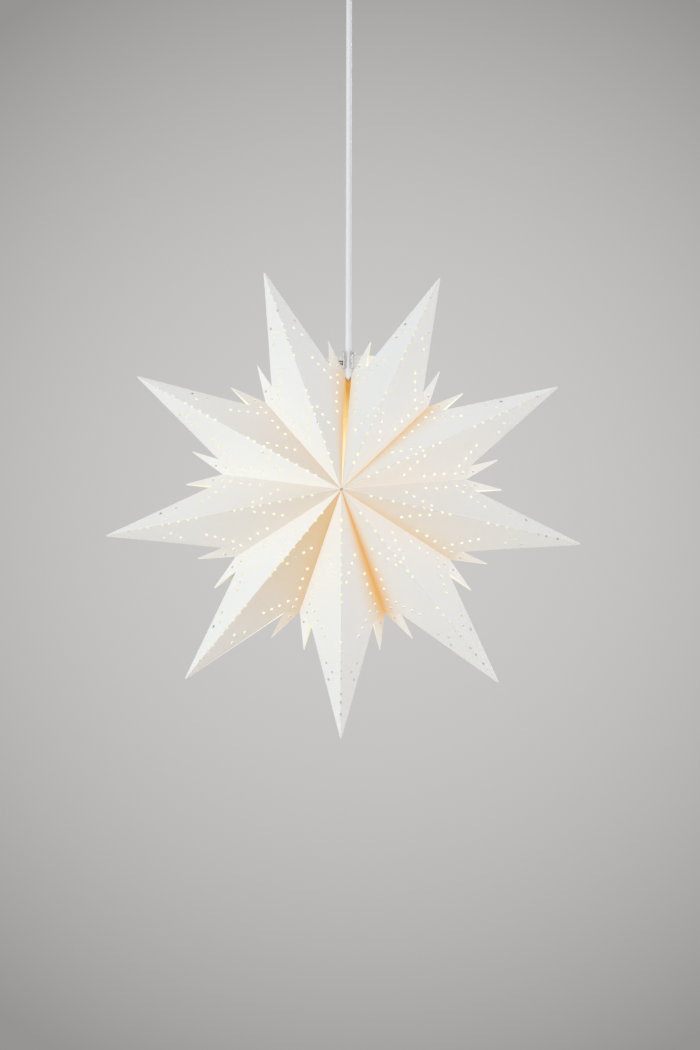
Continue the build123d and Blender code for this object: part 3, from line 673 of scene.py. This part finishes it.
def sheet_pattern(sizes, facets, ridge_angle, slip):
    """Flat layout of a sheet in the middle plane: its outline, its folds and its holes, the outer ones
    nearer to the centre by slip, and loose points between them. Returns points, fold edges and loops, the
    outline first."""
    before, after = facets
    points, loops = [], []

    def loop(places):
        places = np.asarray(places)
        start = sum(len(part) for part in points)
        ahead = np.roll(places, -1, 0)
        clockwise = np.sum(places[:, 0] * ahead[:, 1] - ahead[:, 0] * places[:, 1]) < 0
        points.append(places[::-1] if clockwise else places)
        loops.append(list(range(start, start + len(places))))

    def spike_end(facet):
        half = (facet.valley - facet.nick)[:2]
        half = half / np.linalg.norm(half) * sizes.spike_tip / 2
        return [facet.spike[:2] + half, facet.spike[:2] - half]

    def apex_end(facet):
        return facet.valley[:2] / sizes.valley_radius * sizes.apex_hole

    tip_middle = spot(sizes.tip_radius - sizes.tip_round, ridge_angle)
    turns = np.linspace(-80, 80, 9)
    tip_arc = [tip_middle + spot(sizes.tip_round, ridge_angle + turn) for turn in turns]
    outline = [apex_end(before), before.valley[:2], *spike_end(before), before.nick[:2], *tip_arc]
    outline += [after.nick[:2], *reversed(spike_end(after)), after.valley[:2], apex_end(after)]
    outline.append(spot(sizes.apex_hole, ridge_angle))
    loop(outline)

    radius = sizes.hole_radius
    for share in RIDGE_HOLES:
        centre = spot(sizes.tip_radius * (share - slip), ridge_angle)
        there = after.arc(centre, radius, 0, math.pi, HOLE_SIDES // 2)
        back = before.arc(centre, radius, math.pi, 0, HOLE_SIDES // 2)
        loop(np.concatenate([there, back]))
    for facet in facets:
        for ridge_share, valley_share in FACET_HOLES:
            centre = facet.at(ridge_share - slip * (valley_share < OUTER_ROW), valley_share)
            loop(facet.arc(centre, radius, 0, 2 * math.pi, HOLE_SIDES))

    start = sum(len(part) for part in points)
    folds = np.array([
        spot(sizes.apex_hole, ridge_angle), spot(sizes.tip_radius, ridge_angle) * 0.9999,
        before.valley[:2], before.nick[:2], after.valley[:2], after.nick[:2],
    ])
    points.append(folds)
    edges = [(start, start + 1), (start + 2, start + 3), (start + 4, start + 5)]
    step = sizes.grid_step
    reach = np.arange(-sizes.tip_radius, sizes.tip_radius, step)
    across, up = np.meshgrid(reach, reach)
    across = across + (np.arange(len(reach)) % 2)[:, None] * step / 2
    points.append(np.stack([across.ravel(), up.ravel()], -1))
    return np.concatenate(points), edges, loops


def cut_sheet(sizes, facets, ridge_angle, slip):
    """Triangles of the sheet without its holes, from a constrained Delaunay triangulation of the layout."""
    points, edges, loops = sheet_pattern(sizes, facets, ridge_angle, slip)
    low, high = points[loops[0]].min(0), points[loops[0]].max(0)
    fixed = max(max(loop) for loop in loops) + 1 + 2 * len(edges)
    wanted = np.all((points > low) & (points < high), axis=1) | (np.arange(len(points)) < fixed)
    points = points[wanted]
    result = geometry.delaunay_2d_cdt([Vector(place) for place in points], edges, loops, 1, 1e-7, True)
    places = np.array([tuple(place) for place in result[0]])
    triangles = np.array([face for face, origin in zip(result[2], result[5]) if list(origin) == [0]])
    used, renamed = np.unique(triangles, return_inverse=True)
    return places[used], renamed.reshape(-1, 3)


def thickened(front, back, triangles):
    """Closed shell between two layers of the same triangles, with walls on every open edge. Returns points,
    faces and, for each face, 0 on the front layer, 1 on the back layer and 2 on a wall, and its middle."""
    count = len(front)
    edges = np.concatenate([triangles[:, [0, 1]], triangles[:, [1, 2]], triangles[:, [2, 0]]])
    _, first, uses = np.unique(np.sort(edges, axis=1), axis=0, return_index=True, return_counts=True)
    rim = edges[first[uses == 1]]
    walls = np.stack([rim[:, 1], rim[:, 0], rim[:, 0] + count, rim[:, 1] + count], -1)
    faces = triangles.tolist() + (triangles[:, ::-1] + count).tolist() + walls.tolist()
    kinds = np.repeat([0, 1, 2], [len(triangles), len(triangles), len(walls)])
    middles = np.concatenate([front[triangles].mean(1), front[triangles].mean(1), front[rim].mean(1)])
    return np.concatenate([front, back]), faces, kinds, middles


def margin_strip(sizes, valley_angle, side):
    """The margin glued to the next sheet: a slab 0.8 papers thick that stands inward along a valley, from 2.5
    radii of the apex hole to a gap before the middle plane."""
    slope = sizes.half_depth / sizes.valley_radius
    inner = 2.5 * sizes.apex_hole
    outer = sizes.valley_radius - (sizes.glue_margin * (1 - slope) + sizes.glue_end_gap) / slope
    radii = np.array([inner, outer, outer - sizes.glue_margin, inner + sizes.glue_margin])
    below = np.array([0.0, 0.0, sizes.glue_margin, sizes.glue_margin])
    depth = slope * (sizes.valley_radius - radii) - below + sizes.sheet_gap / 2
    flat = np.array([spot(radius, valley_angle) for radius in radii])
    shift = spot(sizes.paper * 0.8 * -side, valley_angle + 90)
    near = np.column_stack([flat, depth])
    far = np.column_stack([flat + shift, depth])
    faces = [[0, 1, 2, 3], [7, 6, 5, 4], [0, 4, 5, 1], [1, 5, 6, 2], [2, 6, 7, 3], [3, 7, 4, 0]]
    return np.concatenate([near, far]), faces


def valley_angles(sizes, index):
    """Directions of the valleys before and after an arm, clockwise."""
    opening = math.degrees(sizes.seam_opening) / 2
    here = ARM_DIRECTIONS[index]
    before = (ARM_DIRECTIONS[index - 1] + here) / 2 if index else SEAM_DIRECTION + opening
    last = index == ARM_COUNT - 1
    after = SEAM_DIRECTION + 360 - opening if last else (here + ARM_DIRECTIONS[index + 1]) / 2
    return before, after


def star_x(sizes):
    """X of the star's centre: the end of the seam lies on the cord's line."""
    return -sizes.valley_radius * math.sin(math.radians(SEAM_DIRECTION))


def to_world(sizes, flat, facing):
    """Star coordinates (x, z, depth) to the frame; facing is -1 for a front sheet and 1 for a back sheet."""
    return np.column_stack(
        [flat[:, 0] + star_x(sizes), facing * flat[:, 2], flat[:, 1] + sizes.centre_height]
    )


def inner_light(sizes, facet, places, left, at_edge):
    """How brightly the lamp lights the inner face: fully near the bulb, and the share left out at the tip.
    The share at_edge is all that shows up to 0.4 widths from the arm's open edge. A spike's inner face is
    fully lit."""
    radius = np.linalg.norm(places, axis=1)
    outward = np.clip((radius - INNER_FADE) / (sizes.tip_radius - INNER_END - INNER_FADE), 0, 1)
    light = 1 - outward * (1 - left)
    near_edge = np.clip(1.4 - facet.from_edge(places) / EDGE_WIDTH, 0, 1) * (radius > sizes.nick_radius)
    light *= 1 - near_edge * (1 - at_edge)
    return np.where(facet.in_spike(places), 1.0, light)


POINT_VALUES = ("ridge_share", "valley_share", "hole_light")
FACE_VALUES = ("line", "wash", "veil", "painted_light_and_shade", "hole_pale", "at_seam")


def make_sheet(sizes, finishes, index, facing):
    """One folded, perforated sheet with its two margins, as a piece that stands for its solid."""
    ridge_angle = ARM_DIRECTIONS[index]
    angles = valley_angles(sizes, index)
    shifts, slip = (NICK_SHIFTS[index], HOLE_SLIPS[index]) if facing > 0 else ((0.0, 0.0), 0.0)
    facets = [Facet(sizes, ridge_angle, *each) for each in zip(angles, (-1, 1), shifts)]
    places, triangles = cut_sheet(sizes, facets, ridge_angle, slip)
    ridge = spot(1.0, ridge_angle)

    def after(spots):
        return (spots[:, 1] * ridge[0] - spots[:, 0] * ridge[1] < 0)[:, None]

    chance = np.random.default_rng(40 + index)
    bows = sizes.bow * chance.uniform(0.3, 1.0, 2)
    at_seams = (float(index == 0), float(index == ARM_COUNT - 1))
    depths, rows, halves = [], [], []
    for facet, bow, (*outside, left, at_edge), at_seam in zip(facets, bows, HALF_LIGHT[index], at_seams):
        depth, shares = facet.depths(places, bow)
        depths.append(depth[:, None])
        rows.append(np.column_stack([shares[:, 1:], inner_light(sizes, facet, places, left, at_edge)]))
        halves.append([*outside, at_seam])
    depth = np.where(after(places), depths[1], depths[0]) + sizes.sheet_gap / 2
    values = np.tile(np.where(after(places), rows[1], rows[0]), (2, 1))
    inner = np.column_stack([places, depth])
    outer = np.column_stack([places, depth + sizes.paper])
    points, faces, kinds, middles = thickened(outer, inner, triangles)
    face_values = np.where(after(middles), halves[1], halves[0])

    for valley_angle, side, half in zip(angles, (-1, 1), halves):
        strip, strip_faces = margin_strip(sizes, valley_angle, side)
        faces += [[len(points) + corner for corner in face] for face in strip_faces]
        kinds = np.append(kinds, np.full(len(strip_faces), 1))
        points = np.concatenate([points, strip])
        values = np.concatenate([values, np.tile([0.0, 1.0, 1.0], (len(strip), 1))])
        face_values = np.concatenate([face_values, np.tile(half, (len(strip_faces), 1))])

    make_piece(
        f"arm_{index + 1}_{'front' if facing < 0 else 'back'}",
        to_world(sizes, points, facing), faces, finishes,
        sharp=12.0, face_finishes=np.where(kinds == 1, 1, 0),
        attributes=(("POINT", POINT_VALUES, values), ("FACE", FACE_VALUES, face_values)),
    )


def from_centre(finish, sizes):
    """Distance from the star's axis, as a signal."""
    x, _, z = finish.parts(finish.place())
    return ((x - star_x(sizes)) ** 2.0 + (z - sizes.centre_height) ** 2.0) ** 0.5


def star_paper(sizes, colours):
    """Outer face of the paper: white with fine fibres, painted shade along the ridges, and the lamp's glow
    painted on, half into the paper's base colour and half as emission. Line and wash fall off from a valley
    as e^(-ridge share / width), where the width grows with the valley share, and glow is
    1 - (1 - wash)(1 - veil)(1 - middle)."""
    finish = Finish("star_paper_outside")
    ridge_share, valley_share = finish.value("ridge_share"), finish.value("valley_share")
    line_strength, wash_strength, veil_strength, painted_light_and_shade = [finish.value(name) for name in FACE_VALUES[:4]]
    fibre = finish.noise(420.0, 5.0, 0.65)
    cloud = finish.noise(16.0, 3.0)
    radius = from_centre(finish, sizes)
    line = ridge_share.falling(0.004 + 0.070 * valley_share) * line_strength * (1.0 - radius.ramp(*LINE_FADE))
    painted_light_and_shade = painted_light_and_shade * (1.35 - 0.75 * radius.ramp(*PAINTED_TONE_FADE))
    wash = ridge_share.falling(0.006 + 0.150 * valley_share) * wash_strength * (1.0 - radius.ramp(*WASH_FADE))
    veil = (0.12 + 0.88 * (1.0 - radius.ramp(*VEIL_FADE))) * veil_strength
    glow = 1.0 - (1.0 - wash) * (1.0 - veil) * (1.0 - 0.05 * (1.0 - radius.ramp(0.0, 0.100)))
    # painted shade: the paper darkens to the ridge colour along each ridge's fold, standing in for a rounded
    # crease's shading
    painted_ridge_shade = (1.0 - valley_share.ramp(0.002, 0.010)) * 0.35
    tone = finish.mix(fibre.ramp(0.3, 0.75) * 0.35, colours.paper, shade(colours.paper, 0.96))
    tone = finish.mix(cloud.ramp(0.4, 0.8) * 0.3, tone, shade(colours.paper, 0.97))
    tone = finish.mix(painted_ridge_shade, tone, colours.ridge)
    # painted light: half of the lamp's glow goes into the paper's base colour and half into its emission
    half_glow, half_line = shade(colours.glow, 0.55), shade(colours.line, 0.55)
    tone = finish.mix(line, finish.mix(glow, tone, half_glow), half_line)
    # painted light: a half's signed value brightens it as glow; below zero, painted shade darkens its base
    # colour
    painted_glow = finish.mix(painted_light_and_shade, NO_LIGHT, (0.98, 0.97, 0.95))
    painted_glow = finish.mix(line, finish.mix(glow, painted_glow, half_glow), half_line)
    tone = finish.mix(-painted_light_and_shade, tone, NO_LIGHT)
    # a dark dot where the folds meet at the apex, with no glow there
    dot = 1.0 - radius.ramp(0.7 * sizes.apex_dot, sizes.apex_dot)
    finish.set(
        Base_Color=finish.mix(dot, tone, (0.30, 0.31, 0.30)), Emission_Color=finish.mix(dot, painted_glow, NO_LIGHT),
        Emission_Strength=1.0, Roughness=0.78, Specular_IOR_Level=0.25,
    )
    return finish.bump(fibre, 0.12, 0.00005)


def inside_paper_painted_light(sizes, colours):
    """Inner face of the paper, with the lamp's light painted on over a dark base: bright near the bulb, dim
    out in the arms, and deep yellow along the seam.
    """
    finish = Finish("star_paper_inside")
    pale, light, at_seam = [finish.value(name) for name in ("hole_pale", "hole_light", "at_seam")]
    radius = from_centre(finish, sizes)
    seam = at_seam * finish.value("ridge_share").falling(0.035) * radius.ramp(0.0, 0.012)
    tone = finish.mix(pale, colours.inside, colours.inside_pale)
    tone = finish.mix(seam, tone, finish.mix(radius.ramp(0.030, 0.112), colours.seam_near, colours.seam_far))
    tone = finish.mix(light * (1.0 - 0.12 * finish.noise(420.0, 4.0, 0.6)), colours.inside_dark, tone)
    # painted shade: a dark base, so that the painted glow alone sets the inner face's look
    return finish.set(
        Base_Color=(0.10, 0.09, 0.07), Emission_Color=tone, Emission_Strength=1.0, Roughness=0.8
    )


# ---- steps
class STAR_OT_sheets(bpy.types.Operator):
    """Fold the nine front sheets and the nine back sheets"""

    bl_idname = "paper_star.sheets"
    bl_label = "Fold the sheets"

    def execute(self, context):
        sizes, colours = context.scene.star_sizes, context.scene.star_colours
        finishes = [star_paper(sizes, colours), inside_paper_painted_light(sizes, colours)]
        for index in range(ARM_COUNT):
            for facing in (-1, 1):
                make_sheet(sizes, finishes, index, facing)
        return {"FINISHED"}


class STAR_OT_cord(bpy.types.Operator):
    """Hang the cord from the grip down into the lampholder"""

    bl_idname = "paper_star.cord"
    bl_label = "Hang the cord"

    def execute(self, context):
        fittings = context.scene.fitting_sizes
        low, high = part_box("cord")
        top = high.z - fittings.cord_diameter / 2
        curve = bpy.data.curves.new("cord_line", "CURVE")
        curve.dimensions = "3D"
        spline = curve.splines.new("NURBS")
        heights = np.linspace(top, low.z, 6)
        spline.points.add(len(heights) - 1)
        spline.points.foreach_set(
            "co", np.column_stack([0 * heights, 0 * heights, heights, 0 * heights + 1]).ravel()
        )
        spline.order_u = 3
        spline.use_endpoint_u = True
        curve.bevel_depth = fittings.cord_diameter / 2
        curve.bevel_resolution = 8
        curve.use_fill_caps = True
        curve.materials.append(finish_of("cord").material)
        piece = show("hanging_cord", curve, "cord")
        return {"FINISHED"}


class STAR_OT_fittings(bpy.types.Operator):
    """Turn the ceiling cup, the grip's nut, the lampholder's shell and the bulb"""

    bl_idname = "paper_star.fittings"
    bl_label = "Turn the fittings"

    def execute(self, context):
        fittings = context.scene.fitting_sizes
        make_cup(fittings)
        make_nut(fittings)
        make_threads(fittings)
        make_globe()
        return {"FINISHED"}


def extent(node):
    """Outer radius, top and bottom of a turned node."""
    low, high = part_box(node)
    return high.y, high.z, low.z


def make_cup(fittings):
    """Ceiling cup: a thin shell with a broad rounding between wall and floor."""
    radius, top, bottom = extent("ceiling_cup")
    wall, hole = fittings.cup_wall, fittings.cup_hole
    corners = [
        (radius, top), (radius, bottom), (hole, bottom), (hole, bottom + wall),
        (radius - wall, bottom + wall), (radius - wall, top),
    ]
    radii = [0.0005, fittings.cup_round, 0.0003, 0.0003, fittings.cup_round - wall, 0.0005]
    turned("ceiling_cup", corners, radii, finish_of("ceiling_cup"), 128)


def make_nut(fittings):
    """Grip nut with flutes: radius - depth (1 - cos(n angle)) / 2 on its outside, fading out at both ends."""
    radius, top, bottom = extent("grip_nut")
    bore, mouth, lip = fittings.nut_bore, fittings.nut_mouth, fittings.nut_lip

    def flutes(at, turn, height):
        inside = np.clip(np.minimum(top - height, height - bottom) / 0.002 - 0.5, 0, 1)
        return -fittings.flute_depth * (1 - np.cos(fittings.flutes * turn)) / 2 * inside * (at > bore + 0.001)

    corners = [
        (bore, top), (radius, top), (radius, bottom), (mouth + fittings.nut_flare, bottom),
        (mouth, bottom + lip), (bore, bottom + lip),
    ]
    radii = [0.0002, 0.0005, 0.0012, 0.0003, 0.0002, 0.0001]
    turned("grip_nut", corners, radii, finish_of("grip_nut"), 12 * fittings.flutes, flutes, rows=24)


def make_threads(fittings):
    """Rolled thread of the bulb's cap and of the shell round it: depth
    (cos(2 pi height / pitch - angle) -+ 1), inwards from the cap's outside, and outwards on both faces of
    the shell, so that neither meets the other."""
    for node, wall, way in (("bulb_cap", fittings.cap_wall, -1), ("screw_shell", fittings.shell_wall, 1)):
        radius, top, bottom = extent(node)

        def thread(at, turn, height):
            wave = np.cos(2 * math.pi * height / fittings.thread_pitch - turn) + way
            return fittings.thread_depth * wave * ((way > 0) | (at > radius - wall / 2))

        corners = [(radius - wall, bottom), (radius - wall, top), (radius, top), (radius, bottom)]
        turned(node, corners, 0.0001, finish_of(node), 64, thread, rows=72)


def make_globe():
    """Opal globe: a straight wall ending in a dome, (r sin a, bottom + r - r cos a), and above in a lip."""
    radius, top, bottom = extent("bulb_globe")
    lip = 0.0004
    dome = np.linspace(0, math.pi / 2, 20)
    profile = np.concatenate([
        np.column_stack([radius * np.sin(dome), bottom + radius * (1 - np.cos(dome))]),
        [(radius, top - lip), (radius - lip, top), (0.0, top)],
    ])
    faces = grid_faces(len(profile), 72).tolist()
    make_piece("bulb_globe", lathe(profile, 72), faces, [finish_of("bulb_globe")])


# An edge's rounding is at most this share of the part's smallest side.
EDGE_ROUNDING = 0.08
CLIP_ROUNDING = 0.30


class STAR_OT_small_parts(bpy.types.Operator):
    """Round the edges of the clip, the bracket, the terminals, the screws and the other parts of the frame"""

    bl_idname = "paper_star.small_parts"
    bl_label = "Dress the small parts"

    def execute(self, context):
        fittings = context.scene.fitting_sizes
        for node in frame["nodes"]:
            if f"{node}_shown" in bpy.data.objects or node == "cord":
                continue
            low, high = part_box(node)
            share = CLIP_ROUNDING if node == "hanger_clip" else EDGE_ROUNDING
            dress(node, finish_of(node), min(fittings.soft_edge, share * min(high - low)))
        return {"FINISHED"}


class STAR_OT_stage(bpy.types.Operator):
    """Set the backdrop, the light and the camera"""

    bl_idname = "paper_star.stage"
    bl_label = "Set the stage"

    def execute(self, context):
        sizes, stage = context.scene.star_sizes, context.scene.stage_sizes
        make_backdrop(stage)
        make_lights(sizes)
        make_sky(stage)
        make_camera(sizes, stage)
        return {"FINISHED"}


def make_plane(name, corners, finish):
    """A flat piece of the stage."""
    mesh = bpy.data.meshes.new(name)
    mesh.from_pydata(corners, [], [range(len(corners))])
    mesh.materials.append(finish.material)
    placed(name, mesh)


def seen_as(finish, output, shown, lit):
    """Surface or sky that camera, mirrors and clear plastic see as one shader and light meets as another."""
    path = finish.add("ShaderNodeLightPath").socket.node
    rays = [Signal(finish, path.outputs[f"Is {kind} Ray"]) for kind in ("Camera", "Glossy", "Transmission")]
    share = rays[0].at_least(rays[1]).at_least(rays[2])
    both = finish.add("ShaderNodeMixShader", {0: share, 1: lit, 2: shown})
    finish.feed(finish.tree.nodes[output].inputs["Surface"], both)


WALL_LOSS = 0.14  # of its light, over the distance stage.falloff
WALL_LEAST = 0.40


def make_backdrop(stage):
    """A wall far behind the star whose light falls off round its brightest place as
    1 - loss (r / falloff)^2, down to the least share, and a plain floor below."""
    wall = Finish("wall")
    x, _, z = wall.parts(wall.place())
    square = ((x - stage.middle_right) ** 2.0 + (z - stage.middle_height) ** 2.0) / stage.falloff ** 2
    share = (1.0 - WALL_LOSS * square).at_least(WALL_LEAST)
    tone = wall.mix(share, (0.10, 0.10, 0.10), stage.backdrop)
    shown = wall.add("ShaderNodeEmission", {"Color": tone})
    wall.set(Base_Color=stage.backdrop, Roughness=0.9)
    seen_as(wall, "Material Output", shown, Signal(wall, wall.shader.outputs[0]))
    low, high, side, y = stage.floor, stage.wall_top, stage.side, stage.wall
    make_plane("wall", [(-side, y, low), (side, y, low), (side, y, high), (-side, y, high)], wall)
    floor = Finish("floor").set(Base_Color=stage.backdrop, Roughness=0.9)
    make_plane("floor", [(-side, -side, low), (side, -side, low), (side, y, low), (-side, y, low)], floor)


def make_lights(sizes):
    """Soft light from the left, a weaker and warmer one from the right, a cool one from above, a warm one
    from below, and one behind for the star's back."""
    target = Vector((0.0, 0.0, sizes.centre_height))
    lamps = (  # name, place from the star's centre, side, power and tint
        ("left_light", (-2.45, -2.35, 0.25), 2.2, 36.0, (0.94, 1.0, 0.985)),
        ("right_light", (2.10, -2.20, -0.15), 2.4, 16.5, (1.0, 0.955, 0.92)),
        ("top_light", (0.0, -1.90, 2.40), 2.0, 5.5, (0.70, 0.82, 1.0)),
        ("low_light", (-0.3, -2.00, -1.20), 1.6, 5.6, (1.0, 0.94, 0.86)),
        ("back_light", (2.00, 2.60, 0.80), 1.8, 30.0, (1.0, 0.98, 0.95)),
    )
    for name, offset, size, power, tint in lamps:
        light = bpy.data.lights.new(name, "AREA")
        light.size = size
        light.energy = power
        light.color = tint
        lamp = placed(name, light)
        lamp.location = target + Vector(offset)
        lamp.rotation_euler = (-Vector(offset)).to_track_quat("-Z", "Y").to_euler()


def make_sky(stage):
    """Even light from all sides, shown as the wall's grey to the camera, to mirrors and to clear plastic."""
    world = bpy.data.worlds.new("sky")
    sky = Finish("sky", world)
    shown = sky.add("ShaderNodeBackground", {"Color": stage.backdrop, "Strength": 1.0})
    lit = sky.add("ShaderNodeBackground", {"Color": (0.95, 0.955, 0.97), "Strength": 0.60})
    seen_as(sky, "World Output", shown, lit)
    bpy.context.scene.world = world


def make_camera(sizes, stage):
    """Camera at the photograph's angle. Its right, up and back directions follow from the pitch p and the
    yaw q, and it stands so far along each from the star's centre."""
    p, q = stage.pitch, stage.yaw
    axes = np.array([
        (math.cos(q), -math.cos(p) * math.sin(q), -math.sin(p) * math.sin(q)),
        (0.0, -math.sin(p), math.cos(p)),
        (-math.sin(q), -math.cos(p) * math.cos(q), -math.sin(p) * math.cos(q)),
    ])
    centre = np.array([star_x(sizes), 0.0, sizes.centre_height])
    place = centre + np.array([stage.camera_right, stage.camera_up, stage.camera_distance]) @ axes
    data = bpy.data.cameras.new("camera")
    data.sensor_width = 36.0
    data.lens = stage.focal_pixels / IMAGE_HEIGHT * data.sensor_width
    camera = placed("camera", data)
    camera.matrix_world = Matrix.Translation(place) @ Matrix(axes.T.tolist()).to_4x4()
    bpy.context.scene.camera = camera


STEPS = (STAR_OT_sheets, STAR_OT_cord, STAR_OT_fittings, STAR_OT_small_parts, STAR_OT_stage)


class STAR_PT_panel(bpy.types.Panel):
    """Steps and settings of the paper star"""

    bl_idname = "STAR_PT_panel"
    bl_label = "Paper star"
    bl_space_type = "VIEW_3D"
    bl_region_type = "UI"
    bl_category = "Paper star"

    def draw(self, context):
        for step in STEPS:
            self.layout.operator(step.bl_idname)
        for group, kind in GROUPS.items():
            box = self.layout.box()
            box.label(text=kind.__doc__)
            for name in kind.__annotations__:
                box.prop(getattr(context.scene, group), name)


def register():
    for kind in (*GROUPS.values(), *STEPS, STAR_PT_panel):
        bpy.utils.register_class(kind)
    for group, kind in GROUPS.items():
        setattr(bpy.types.Scene, group, PointerProperty(type=kind))


def unregister():
    for group in GROUPS:
        delattr(bpy.types.Scene, group)
    for kind in reversed((*GROUPS.values(), *STEPS, STAR_PT_panel)):
        bpy.utils.unregister_class(kind)


def main():
    """Register, set the Standard view transform and run the steps in order."""
    register()
    bpy.context.scene.view_settings.view_transform = "Standard"
    for step in STEPS:
        group, name = step.bl_idname.split(".")
        getattr(getattr(bpy.ops, group), name)()


if __name__ == "__main__":
    main()
